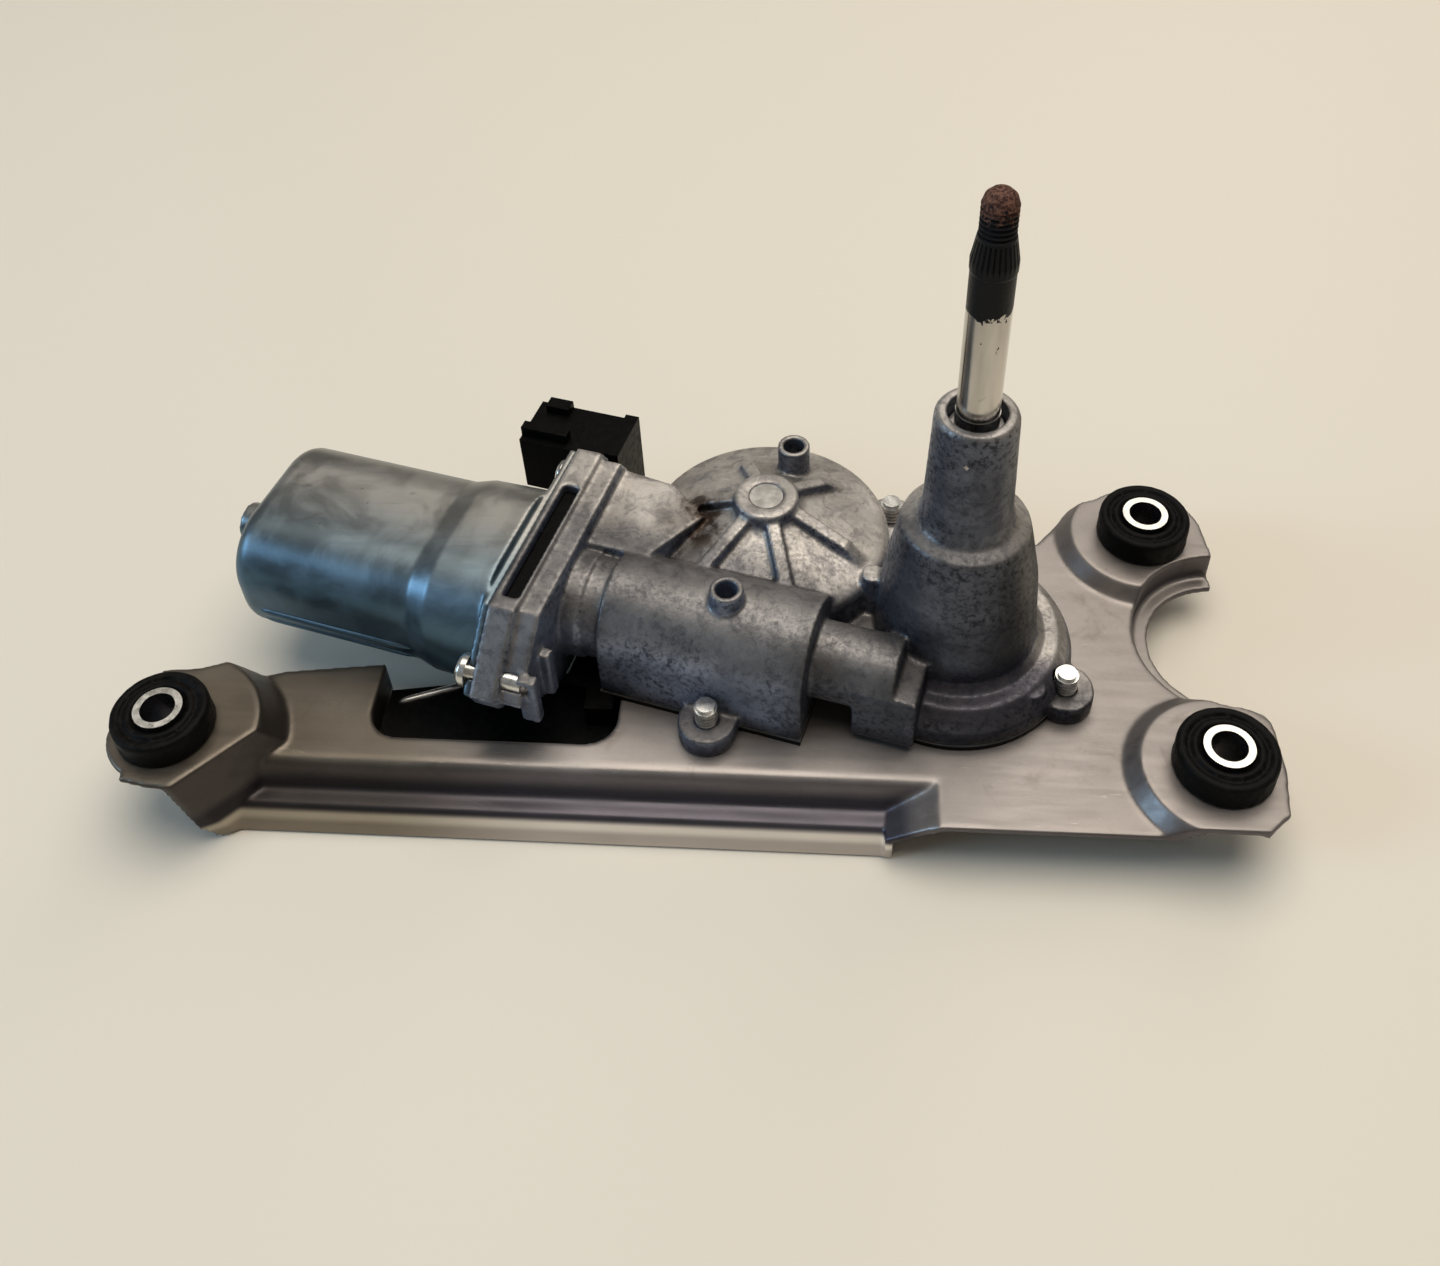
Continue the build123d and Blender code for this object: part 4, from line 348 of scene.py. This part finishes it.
def coated_steel():
    f = Finish("coated_sheet_steel", metallic=0.78, roughness=0.42)
    cloud = f.noise(38.0)
    fine = f.noise(0.9, detail=3.0)
    drawn = f.noise(3.0, detail=3.0, vector=f.mapped(DRAWN_STRETCH))
    colour = f.mix(f.ramp(cloud, 0.35, 0.7), SHEET["dark"], SHEET["light"])
    colour = f.mix(f.ramp(fine, 0.5, 0.85, top=0.3), colour, SHEET["specks"])
    grime = f.ramp(f.noise(16.0, detail=5.0, rough=0.65, distortion=0.6), 0.58, 0.74, top=0.4)
    colour = f.mix(grime, colour, SHEET["grime"])
    along_scratches = f.mapped(SCRATCH_STRETCH, SCRATCH_TURN)
    scratches = f.noise(2.4, detail=2.0, rough=0.5, distortion=2.2, vector=along_scratches)
    colour = f.mix(f.ramp(scratches, 0.7, 0.74, top=0.4), colour, SHEET["scratches"])
    colour = f.mix(f.edges(0.54, 0.62), colour, SHEET["edges"])
    lip = f.band("Z", LIP_HIGHLIGHT_Z)
    off_lip = f.inverse(lip)
    # Painted shade, bluish, on the steep walls off the lip.
    shaded_walls = f.times(f.inverse(f.facing_up(0.35, 0.95)), off_lip)
    colour = f.shade(shaded_walls, colour, SHEET_SHADES["shaded_walls"])
    # Painted highlight on the rail's lip.
    colour = f.mix(f.times(lip, LIP_HIGHLIGHT_SHARE), colour, SHEET["lip"])
    # Painted shade in the band under the lip.
    colour = f.shade(f.band("Z", SHADE_UNDER_LIP_Z), colour, SHEET_SHADES["under_lip"])
    # Painted shade in the trough behind the rail.
    shaded_trough = f.times(f.band("Z", SHADED_TROUGH_Z), f.band("Y", SHADED_TROUGH_Y))
    colour = f.shade(f.times(shaded_trough, off_lip), colour, SHEET_SHADES["shaded_trough"])
    # Darker towards the left end; painted shade on the right end, where the ceiling lamp reflects.
    colour = f.shade(f.band("X", LEFT_END_X), colour, SHEET_SHADES["left_end"])
    colour = f.shade(f.band("X", SHADED_RIGHT_END_X), colour, SHEET_SHADES["shaded_right_end"])
    f.colour(colour)
    f.rough(f.ramp(f.plus(drawn, cloud), 0.7, 1.3, bottom=0.34, top=0.5))
    skin = f.bump(fine, strength=0.25, depth=0.05)
    f.bump(drawn, strength=0.3, depth=0.12, under=skin)
    return f.material


# %% [markdown]
# ## Cast aluminium
# The housing is die-cast. Its skin is never one grey: there is a pale bloom on the flats, and a dark
# speckle where the die sprayed, thickest on what is steep. Brown grease has settled in the seams and in one
# corner of the gear chamber. Painted shade, bluish, darkens the steep walls, and more painted shade darkens
# the front, the tower's right side, the ledge at its foot and the lowest band of the housing. On the worm
# tube's front walls a painted bluish reflection takes the place of that front shade. A bump of two sizes
# gives the fine orange-peel skin, and a third one the small pits.

# %% Finish for the casting
CAST = {
    "dark": (0.34, 0.318, 0.292), "light": (0.56, 0.522, 0.478), "speckle": (0.085, 0.082, 0.085),
    "pits": (0.06, 0.05, 0.045), "seams": (0.05, 0.031, 0.02), "grease": (0.05, 0.032, 0.022),
    "edges": (0.5, 0.47, 0.43),
}
# Tints of painted shade for the foot, walls, front, tower's right side and ledge; the tube's tint is a
# painted bluish reflection, and the blotches are random mottling.
CAST_SHADES = {
    "foot": (0.22, 0.2, 0.22), "shaded_walls": (0.46, 0.53, 0.7), "front": (0.44, 0.45, 0.48),
    "tube": (0.88, 0.97, 1.1), "shaded_tower_right": (0.5, 0.47, 0.4), "ledge": (0.36, 0.35, 0.42),
    "blotches": (0.42, 0.42, 0.47),
}
SPECKLE_SHARE, PIT_SHARE = 0.85, 0.7
GREASY_CORNER, GREASY_REACH = (-67.8, 19.0, -60.5), (15.0, 5.0)
SHADED_FOOT_Z = (DECK + 9.0, DECK + 1.0)
SHADED_FRONT_SIDE, TUBE_REFLECTION_ALONG = (-1.0, -12.0), (-30.0, -38.0)
SHADED_TOWER_RIGHT_X, SHADED_TOWER_RIGHT_Z = (2.0, 14.0), (DECK + 14.0, DECK + 20.0)
SHADED_LEDGE_REACH, SHADED_LEDGE_Y, SHADED_LEDGE_Z = (34.0, 28.0), (-6.0, -16.0), (DECK + 22.0, DECK + 16.0)
SHAFT_AXIS, SEEN_FROM_ABOVE = (0, 0, 0), (1, 1, 0)


def cast_alloy():
    f = Finish("cast_alloy", metallic=0.72, roughness=0.46)
    cloud = f.noise(17.0, detail=5.0, distortion=0.4)
    speck = f.noise(1.5, detail=6.0, rough=0.72)
    small = f.noise(0.5, rough=0.7)
    colour = f.mix(f.ramp(cloud, 0.35, 0.68), CAST["dark"], CAST["light"])
    patches = f.ramp(f.noise(24.0, detail=3.0, rough=0.55), 0.38, 0.6, bottom=0.25)
    steep = f.ramp(f.inverse(f.facing_up(0.45, 0.98)), 0.0, 1.0, bottom=0.3)
    speckle = f.times(f.ramp(speck, 0.47, 0.62), f.times(patches, steep))
    colour = f.mix(f.times(speckle, SPECKLE_SHARE), colour, CAST["speckle"])
    pits = f.ramp(small, 0.64, 0.72)
    colour = f.mix(f.times(pits, PIT_SHARE), colour, CAST["pits"])
    stain = f.ramp(f.noise(7.0), 0.42, 0.6, bottom=0.35)
    colour = f.mix(f.times(f.edges(0.49, 0.43), stain), colour, CAST["seams"])
    # Painted shade along the lowest band of the housing.
    colour = f.shade(f.band("Z", SHADED_FOOT_Z), colour, CAST_SHADES["foot"])
    greasy = f.times(f.near(GREASY_CORNER, GREASY_REACH), stain)
    colour = f.mix(greasy, colour, CAST["grease"])
    # Painted shade, bluish, on the steep walls.
    shaded_walls = f.inverse(f.facing_up(0.1, 0.85))
    colour = f.shade(shaded_walls, colour, CAST_SHADES["shaded_walls"])
    # Painted shade on the front side along the motor; on the worm tube's walls a painted bluish reflection
    # takes its place.
    motor = f.on_motor()
    tube = f.times(f.band("X", TUBE_REFLECTION_ALONG, motor), shaded_walls)
    front_shade_tint = f.mix(tube, CAST_SHADES["front"], CAST_SHADES["tube"])
    colour = f.shade(f.band("Y", SHADED_FRONT_SIDE, motor), colour, front_shade_tint)
    # Painted shade on the tower's right side.
    shaded_tower_right = f.times(f.band("X", SHADED_TOWER_RIGHT_X), f.band("Z", SHADED_TOWER_RIGHT_Z))
    colour = f.shade(f.times(shaded_tower_right, shaded_walls), colour, CAST_SHADES["shaded_tower_right"])
    # Painted shade on the ledge at the tower's foot, at the front.
    ledge = f.times(f.near(SHAFT_AXIS, SHADED_LEDGE_REACH, SEEN_FROM_ABOVE), f.band("Y", SHADED_LEDGE_Y))
    colour = f.shade(f.times(ledge, f.band("Z", SHADED_LEDGE_Z)), colour, CAST_SHADES["ledge"])
    blotches = f.ramp(f.noise(4.5, detail=5.0, rough=0.7, distortion=0.8), 0.46, 0.64, top=0.6)
    colour = f.shade(blotches, colour, CAST_SHADES["blotches"])
    colour = f.mix(f.edges(0.54, 0.64), colour, CAST["edges"])
    f.colour(colour)
    f.rough(f.ramp(speck, 0.4, 0.65, bottom=0.38, top=0.6))
    skin = f.bump(f.noise(0.55, detail=5.0, rough=0.65), strength=0.35, depth=0.10)
    skin = f.bump(cloud, strength=0.3, depth=0.5, under=skin)
    f.bump(pits, strength=0.5, depth=-0.14, under=skin)
    return f.material


# %% [markdown]
# ## Plated and bare steel
# The can is deep drawn and zinc-plated. Drawing leaves streaks along its length, and handling leaves dark
# smears and a few chips. Painted bluish shade darkens its steep sides and its front. The small steel,
# brass and copper pieces share one simple recipe: two shades in a cloud, and a faint grain. The sleeves
# in the ears are bright on their end faces, and painted shade darkens their bore.

# %% Finishes for metal pieces
PLATE = {
    "dark": (0.27, 0.264, 0.245), "light": (0.385, 0.376, 0.35), "streaks": (0.27, 0.27, 0.26),
    "smears": (0.14, 0.13, 0.12), "chips": (0.07, 0.06, 0.05),
}
# Tints of painted bluish shade for the can's steep sides and its front.
PLATE_SHADES = {"steep": (0.5, 0.68, 0.82), "front": (0.5, 0.66, 0.8)}
SHADED_CAN_FRONT_SIDE = (-16.0, -40.0)
STREAK_STRETCH, SMEAR_STRETCH = (0.08, 1.0, 1.0), (0.5, 1.0, 1.0)
SLEEVE_DARK, SLEEVE_LIGHT, BORE_SHADE = (0.66, 0.64, 0.58), (0.86, 0.84, 0.78), (0.1, 0.09, 0.11)


def plated_can():
    f = Finish("plated_can", metallic=0.85, roughness=0.36)
    streak = f.noise(2.2, vector=f.on_motor(STREAK_STRETCH))
    cloud = f.noise(15.0, distortion=0.8)
    colour = f.mix(f.ramp(cloud, 0.35, 0.68), PLATE["dark"], PLATE["light"])
    colour = f.mix(f.ramp(streak, 0.5, 0.72, top=0.5), colour, PLATE["streaks"])
    # Painted bluish shade on the steep sides and on the front side.
    colour = f.shade(f.inverse(f.facing_up(0.4, 1.0)), colour, PLATE_SHADES["steep"])
    colour = f.shade(f.band("Y", SHADED_CAN_FRONT_SIDE, f.on_motor()), colour, PLATE_SHADES["front"])
    smear = f.noise(9.0, detail=6.0, rough=0.66, distortion=1.5, vector=f.on_motor(SMEAR_STRETCH))
    colour = f.mix(f.ramp(smear, 0.62, 0.72, top=0.4), colour, PLATE["smears"])
    chips = f.ramp(f.noise(1.2), 0.68, 0.76, top=0.7)
    colour = f.mix(chips, colour, PLATE["chips"])
    f.colour(colour)
    f.rough(f.ramp(cloud, 0.3, 0.7, bottom=0.3, top=0.46))
    skin = f.bump(streak, strength=0.25, depth=0.08)
    f.bump(f.noise(0.7, detail=3.0), strength=0.15, depth=0.04, under=skin)
    return f.material


def steel(name, light, dark, roughness, grain=1.2):
    """Bare or plated metal. The grain is in millimetres, and the clouds are four times as wide."""
    f = Finish(name, metallic=0.95, roughness=roughness)
    cloud = f.noise(grain * 4, distortion=0.4)
    f.colour(f.mix(f.ramp(cloud, 0.35, 0.7), dark, light))
    f.rough(f.ramp(cloud, 0.3, 0.7, bottom=roughness * 0.8, top=roughness * 1.25))
    f.bump(f.noise(grain * 0.4, detail=3.0), strength=0.2, depth=0.04)
    return f.material


def sleeve_zinc():
    """Bright ends and a bore darkened by painted shade."""
    f = Finish("sleeve_zinc", metallic=0.9, roughness=0.3)
    cloud = f.noise(2.0)
    colour = f.mix(f.ramp(cloud, 0.35, 0.7), SLEEVE_DARK, SLEEVE_LIGHT)
    # Painted shade on every face of the bore that doesn't face up.
    f.colour(f.shade(f.inverse(f.facing_up(0.4, 0.8)), colour, BORE_SHADE))
    f.rough(f.ramp(cloud, 0.3, 0.7, bottom=0.25, top=0.4))
    f.bump(f.noise(0.5, detail=3.0), strength=0.2, depth=0.03)
    return f.material


print("metal finishes ready")

# %% [markdown]
# ## Wiper shaft
# The shank is ground and polished. Above it, the serrated cone and the thread are black with old grease,
# whose lower edge is ragged, and the tip has rusted. One material does all three: the height along the
# shaft, shaken by a noise, is the mask between them.

# %% Finish for the shaft
SHANK_DARK, SHANK_LIGHT, BLACK_GREASE = (0.42, 0.395, 0.36), (0.6, 0.57, 0.53), (0.008, 0.008, 0.009)
RUST_DARK, RUST_LIGHT = (0.045, 0.022, 0.018), (0.17, 0.085, 0.06)
BLACK_FROM, BLACK_BLEND, BLACK_SHAKE = 29.5, 0.5, 2.0
RUST_FROM, RUST_BLEND, RUST_SHAKE = 53.5, 2.0, 3.0
CLOUD_STRETCH, POLISH_STRETCH = (1, 1, 0.2), (1, 1, 0.1)
BLACK_ROUGHNESS, RUST_ROUGHNESS = 0.38, 0.75


def worn_shaft():
    f = Finish("worn_shaft", metallic=1.0, roughness=0.16, specular=0.12)
    height = f.axis("Z")

    def above(start, blend, shake, size):
        """A mask of what lies above a height, with a ragged lower edge."""
        ragged = f.plus(height, f.ramp(f.noise(size), 0.3, 0.7, bottom=-shake, top=shake))
        return f.ramp(ragged, start, start + blend)

    flecks = f.ramp(f.noise(1.9, detail=5.0, rough=0.7, distortion=1.2), 0.66, 0.68)
    black = f.larger(above(BLACK_FROM, BLACK_BLEND, BLACK_SHAKE, 3.2), flecks)
    rust = above(RUST_FROM, RUST_BLEND, RUST_SHAKE, 1.6)
    cloud = f.noise(6.0, detail=3.0, rough=0.5, vector=f.mapped(CLOUD_STRETCH))
    colour = f.mix(f.ramp(cloud, 0.3, 0.7), SHANK_DARK, SHANK_LIGHT)
    colour = f.mix(black, colour, BLACK_GREASE)
    rusty = f.mix(f.ramp(f.noise(0.8, rough=0.7), 0.4, 0.6), RUST_DARK, RUST_LIGHT)
    f.colour(f.mix(rust, colour, rusty))
    covered = f.larger(black, rust)
    f.metal(f.inverse(covered))
    coarse = f.larger(f.times(black, BLACK_ROUGHNESS), f.times(rust, RUST_ROUGHNESS))
    polish = f.noise(2.0, detail=3.0, vector=f.mapped(POLISH_STRETCH))
    f.rough(f.larger(coarse, f.ramp(polish, 0.3, 0.7, bottom=0.12, top=0.24)))
    f.bump(f.times(f.noise(0.7, rough=0.7), covered), strength=0.5, depth=0.25)
    return f.material


print("shaft finish ready")

# %% [markdown]
# ## Rubber and plastic
# The grommets are black rubber with a chalky bloom of dust on top. The connector and the cover are black
# moulded plastic, smoother and a little shinier, dulled by dust on what faces up. Both reflect very little,
# because the photograph shows them almost wholly black. Magnets, nylon and the gasket have a plainer
# recipe.

# %% Finishes for rubber and plastic
DARK_SPECULAR = 0.06
PLAIN_CLOUD, PLAIN_GRAIN = 5.0, 0.5


def dark_finish(name, roughness, dust, grain, base, dusty):
    f = Finish(name, roughness=roughness, specular=DARK_SPECULAR)
    patches = f.ramp(f.noise(grain * 6, detail=5.0, rough=0.65, distortion=0.5), 0.4, 0.68)
    mask = f.times(f.times(patches, f.facing_up()), dust)
    f.colour(f.mix(mask, base, dusty))
    f.rough(f.ramp(patches, 0.0, 1.0, bottom=roughness * 0.85, top=min(1.0, roughness * 1.2)))
    skin = f.bump(f.noise(grain), strength=0.3, depth=0.06)
    f.bump(f.noise(grain * 5, detail=3.0), strength=0.25, depth=0.25, under=skin)
    return f.material


def plain_finish(name, light, dark, roughness):
    f = Finish(name, roughness=roughness)
    cloud = f.noise(PLAIN_CLOUD)
    f.colour(f.mix(f.ramp(cloud, 0.35, 0.68), dark, light))
    f.rough(f.ramp(cloud, 0.3, 0.7, bottom=roughness * 0.85, top=min(1.0, roughness * 1.15)))
    f.bump(f.noise(PLAIN_GRAIN, detail=3.0), strength=0.2, depth=0.05)
    return f.material


print("dark and plain finishes ready")

# %% [markdown]
# ## Softened edges
# Pressed sheet and die castings have no sharp edges. Two modifiers on the CAD piece itself give that:
# Remesh rebuilds the solid from small voxels, which also melts its parts into one skin, and Smooth rounds
# what is sharper than a few voxels.

# %% Soften three CAD pieces
SMOOTH_FACTOR = 0.5
# Each piece has a voxel size in millimetres and a number of smoothing rounds.
SOFTENED = {"bracket": (0.6, 6), "gear_housing": (0.55, 5), "motor_can": (0.5, 5)}


def soften(node, voxel, rounds):
    """Remesh a CAD node and smooth it."""
    piece = NODES[node]
    remesh = piece.modifiers.new("skin", "REMESH")
    remesh.mode, remesh.voxel_size = "VOXEL", voxel * MM
    remesh.use_smooth_shade = True
    smooth = piece.modifiers.new("round_off", "SMOOTH")
    smooth.factor, smooth.iterations = SMOOTH_FACTOR, rounds


for node, (voxel, rounds) in SOFTENED.items():
    soften(node, voxel, rounds)
print("softened", ", ".join(SOFTENED))

# %% [markdown]
# ## Give every piece its finish
# One table says which pieces have which finish, so that nothing is left in plain grey, inside or out.

# %% Paint the pieces
BRIGHT_ZINC = steel("bright_zinc", (0.83, 0.82, 0.78), (0.62, 0.61, 0.58), 0.22)
SLEEVE_ZINC = sleeve_zinc()
DULL_STEEL = steel("plain_steel", (0.55, 0.53, 0.5), (0.36, 0.35, 0.33), 0.34)
BRASS = steel("brass", (0.78, 0.6, 0.3), (0.58, 0.42, 0.2), 0.3)
BRONZE = steel("oiled_bronze", (0.5, 0.36, 0.22), (0.32, 0.22, 0.13), 0.45)
COPPER = steel("enamelled_copper", (0.72, 0.32, 0.16), (0.5, 0.2, 0.1), 0.28, 0.5)
CORE_IRON = steel("core_iron", (0.3, 0.29, 0.28), (0.18, 0.17, 0.17), 0.5, 0.6)
FERRITE = plain_finish("ferrite", (0.09, 0.09, 0.09), (0.045, 0.045, 0.045), 0.6)
NYLON = plain_finish("natural_nylon", (0.78, 0.74, 0.63), (0.66, 0.61, 0.5), 0.42)
GASKET = plain_finish("gasket_sheet", (0.1, 0.095, 0.09), (0.06, 0.055, 0.05), 0.8)
RUBBER = dark_finish("grommet_rubber", 0.5, 0.14, 0.35, (0.004, 0.004, 0.004), (0.05, 0.042, 0.034))
PLASTIC = dark_finish("black_plastic", 0.42, 0.06, 0.3, (0.002, 0.002, 0.002), (0.03, 0.026, 0.02))

COATS = [
    (coated_steel(), ["bracket"]),
    (cast_alloy(), ["gear_housing"]),
    (plated_can(), ["motor_can"]),
    (worn_shaft(), ["output_shaft"]),
    (BRIGHT_ZINC, ["bracket_screws", "can_screws", "cover_screws"]),
    (SLEEVE_ZINC, ["sleeve_front", "sleeve_rear", "sleeve_left"]),
    (DULL_STEEL, ["armature_shaft", "output_pinion", "wheel_pin", "crank_pin", "sector_pin", "sector_rod",
                  "link_plate_lower", "link_plate_upper", "retaining_ring", "foot_clip", "wheel_clip",
                  "magnet_clips", "brush_springs", "thrust_washer"]),
    (BRASS, ["contact_plate", "park_contacts", "brush_boxes", "connector_terminals"]),
    (BRONZE, ["can_end_bush", "front_bearing", "worm_end_bush", "output_bush_lower", "output_bush_upper"]),
    (COPPER, ["commutator", "armature_windings", "choke_coils"]),
    (CORE_IRON, ["armature_core"]),
    (FERRITE, ["magnets", "brushes"]),
    (NYLON, ["worm_wheel", "thrust_pad"]),
    (GASKET, ["cover_gasket"]),
    (RUBBER, ["grommet_front", "grommet_rear", "grommet_left", "shaft_seal"]),
    (PLASTIC, ["gear_cover", "brush_plate"]),
]
FINISHES = {node: material for material, nodes in COATS for node in nodes}


def paint(node, material):
    """Give a CAD node one finish."""
    data = NODES[node].data
    data.materials.clear()
    data.materials.append(material)


for node, material in FINISHES.items():
    paint(node, material)
print("unpainted:", [name for name in NODES if name not in FINISHES])

# %% [markdown]
# ## Rubber grommets
# A real grommet is moulded: its collar has a raised rim, a groove with small webs, and a lip round the
# sleeve, and its wall is never quite round. Each one is turned here from one profile, then shaken a little
# by a seeded noise, and stands for the plain CAD grommet.

# %% Turn the grommets
# Each ear has the place of its axis and its height above the deck, in millimetres.
EARS = {"front": ((63.9, -35.1), 4.0), "rear": ((55.1, 41.3), 4.0), "left": ((-200.1, -38.6), 9.0)}
GROMMET_PROFILE = [
    (6.2, 6.7), (6.8, 6.8), (7.1, 7.3), (7.5, 7.7), (8.1, 7.75), (8.6, 7.5), (8.9, 7.0), (9.3, 6.85),
    (9.7, 6.9), (10.0, 7.3), (10.4, 7.65), (11.1, 7.75), (11.8, 7.55), (12.2, 7.1), (12.35, 6.5), (12.4, 5.0),
    (12.35, 3.2), (12.4, 1.6), (12.45, 0.9), (12.3, 0.35), (11.8, 0.05), (9.0, 0.0), (9.0, -2.0),
    (10.4, -2.0), (10.4, -5.0), (9.5, -6.0), (6.2, -6.0),
]
TURN_STEPS = 144
WAVES, WAVE_DRIFT, WOBBLE = 6, 0.6, 0.22
STEADY_RADIUS = 6.5
WEBS, WEB_INNER, WEB_OUTER, WEB_ABOVE, WEB_WIDTH, WEB_RISE = 9, 8.8, 9.8, 6.0, 0.13, 0.55
FIRST_SEED = 11


def add_mesh(name, points, faces):
    mesh = bpy.data.meshes.new(name)
    mesh.from_pydata(points, [], faces)
    mesh.polygons.foreach_set("use_smooth", [True] * len(mesh.polygons))
    mesh.update()
    piece = bpy.data.objects.new(name, mesh)
    bpy.context.scene.collection.objects.link(piece)
    return piece


def turned(name, profile, centre, base, seed):
    """Turn a closed profile of (radius, height) in millimetres round an upright axis."""
    rng = random.Random(seed)
    waves = [(rng.randint(3, 17), rng.uniform(0, math.tau), rng.uniform(0.3, 1.0)) for _ in range(WAVES)]
    points, faces = [], []
    for step in range(TURN_STEPS):
        turn = math.tau * step / TURN_STEPS
        in_web = abs(math.sin(WEBS * turn / 2)) < WEB_WIDTH
        for index, (radius, height) in enumerate(profile):
            if radius > STEADY_RADIUS:
                drift = WAVE_DRIFT * index
                shake = sum(size * math.sin(count * turn + phase + drift)
                            for count, phase, size in waves) / WAVES
                radius -= WOBBLE * abs(shake)
            if in_web and WEB_INNER < radius < WEB_OUTER and height > WEB_ABOVE:
                height += WEB_RISE
            x, y = centre[0] + radius * math.cos(turn), centre[1] + radius * math.sin(turn)
            points.append((x * MM, y * MM, (base + height + DECK) * MM))
    count = len(profile)
    for step in range(TURN_STEPS):
        following = (step + 1) % TURN_STEPS
        for index in range(count):
            after = (index + 1) % count
            faces.append((step * count + index, following * count + index, following * count + after,
                          step * count + after))
    return add_mesh(name, points, faces)


def finish_piece(piece, material, body="frame"):
    piece.data.materials.append(material)
    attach(piece, body)


for number, (side, (centre, rise)) in enumerate(EARS.items()):
    collar = turned("moulded_grommet_" + side, GROMMET_PROFILE, centre, rise, FIRST_SEED + number)
    finish_piece(collar, RUBBER)
    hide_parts("grommet_" + side)
print("turned", len(EARS), "grommets")

# %% [markdown]
# ## Pressed beads
# Two shallow beads run along the can's lower front side, where the press stiffened it, and a short bright
# tab lies in the dark recess under the motor flange. Each bead is a rounded bar that sinks partly into the
# can, and its ends taper away like those of a real bead. The beads lie on the can's rounded corner, at two
# angles round it.

# %% Lay the beads
MOTOR_AXIS = Vector((math.cos(MOTOR_TURN), math.sin(MOTOR_TURN), 0))
MOTOR_SIDE = Vector((-math.sin(MOTOR_TURN), math.cos(MOTOR_TURN), 0))
UPRIGHT = Vector((0, 0, 1))
CAN_CORNER_AT = (-33.46, 13.54)
CAN_CORNER_RADIUS = 15.54
BEAD_RINGS, BEAD_SIDES = 40, 20
BEAD_START, BEAD_END = -181.5, -133.0
BEAD_SINK, BEAD_TAPER = 0.55, 0.12
# Each bead has an angle round the corner in degrees and a radius in millimetres.
BEADS = {"can_bead_upper": (186.0, 1.5), "can_bead_lower": (203.0, 1.2)}
TAB_START, TAB_END = Vector((-147.7, -18.0, -94.4)) * MM, Vector((-130.5, -11.5, -94.2)) * MM
TAB_RADIUS, TAB_TAPER = 1.1, 0.2


def motor_place(along, side, height):
    """A place in motor coordinates (millimetres, height above the deck) in the part's frame."""
    return (MOTOR_AXIS * along + MOTOR_SIDE * side + Vector((0, 0, height + DECK))) * MM


def bead(name, start, end, radius, taper):
    """A rounded bar between two places, thinner towards both ends."""
    line = (end - start).normalized()
    side = line.cross(UPRIGHT).normalized()
    up = side.cross(line)
    points, faces = [], []
    for ring in range(BEAD_RINGS + 1):
        share = ring / BEAD_RINGS
        near = min(share, 1 - share) / taper
        size = radius * MM * (math.sqrt(max(0.0, 1 - (1 - near) ** 2)) if near < 1 else 1.0)
        for step in range(BEAD_SIDES):
            turn = math.tau * step / BEAD_SIDES
            points.append(start.lerp(end, share) + (side * math.cos(turn) + up * math.sin(turn)) * size)
    for ring in range(BEAD_RINGS):
        for step in range(BEAD_SIDES):
            a, b = ring * BEAD_SIDES + step, ring * BEAD_SIDES + (step + 1) % BEAD_SIDES
            faces.append((a, b, b + BEAD_SIDES, a + BEAD_SIDES))
    return add_mesh(name, points, faces)


for name, (angle, radius) in BEADS.items():
    reach = CAN_CORNER_RADIUS - BEAD_SINK * radius
    side = CAN_CORNER_AT[0] + reach * math.cos(math.radians(angle))
    height = CAN_CORNER_AT[1] + reach * math.sin(math.radians(angle))
    start, end = (motor_place(along, side, height) for along in (BEAD_START, BEAD_END))
    strip = bead(name, start, end, radius, BEAD_TAPER)
    finish_piece(strip, FINISHES["motor_can"])
tab = bead("recess_tab", TAB_START, TAB_END, TAB_RADIUS, TAB_TAPER)
finish_piece(tab, DULL_STEEL)
print("laid two beads and one tab")
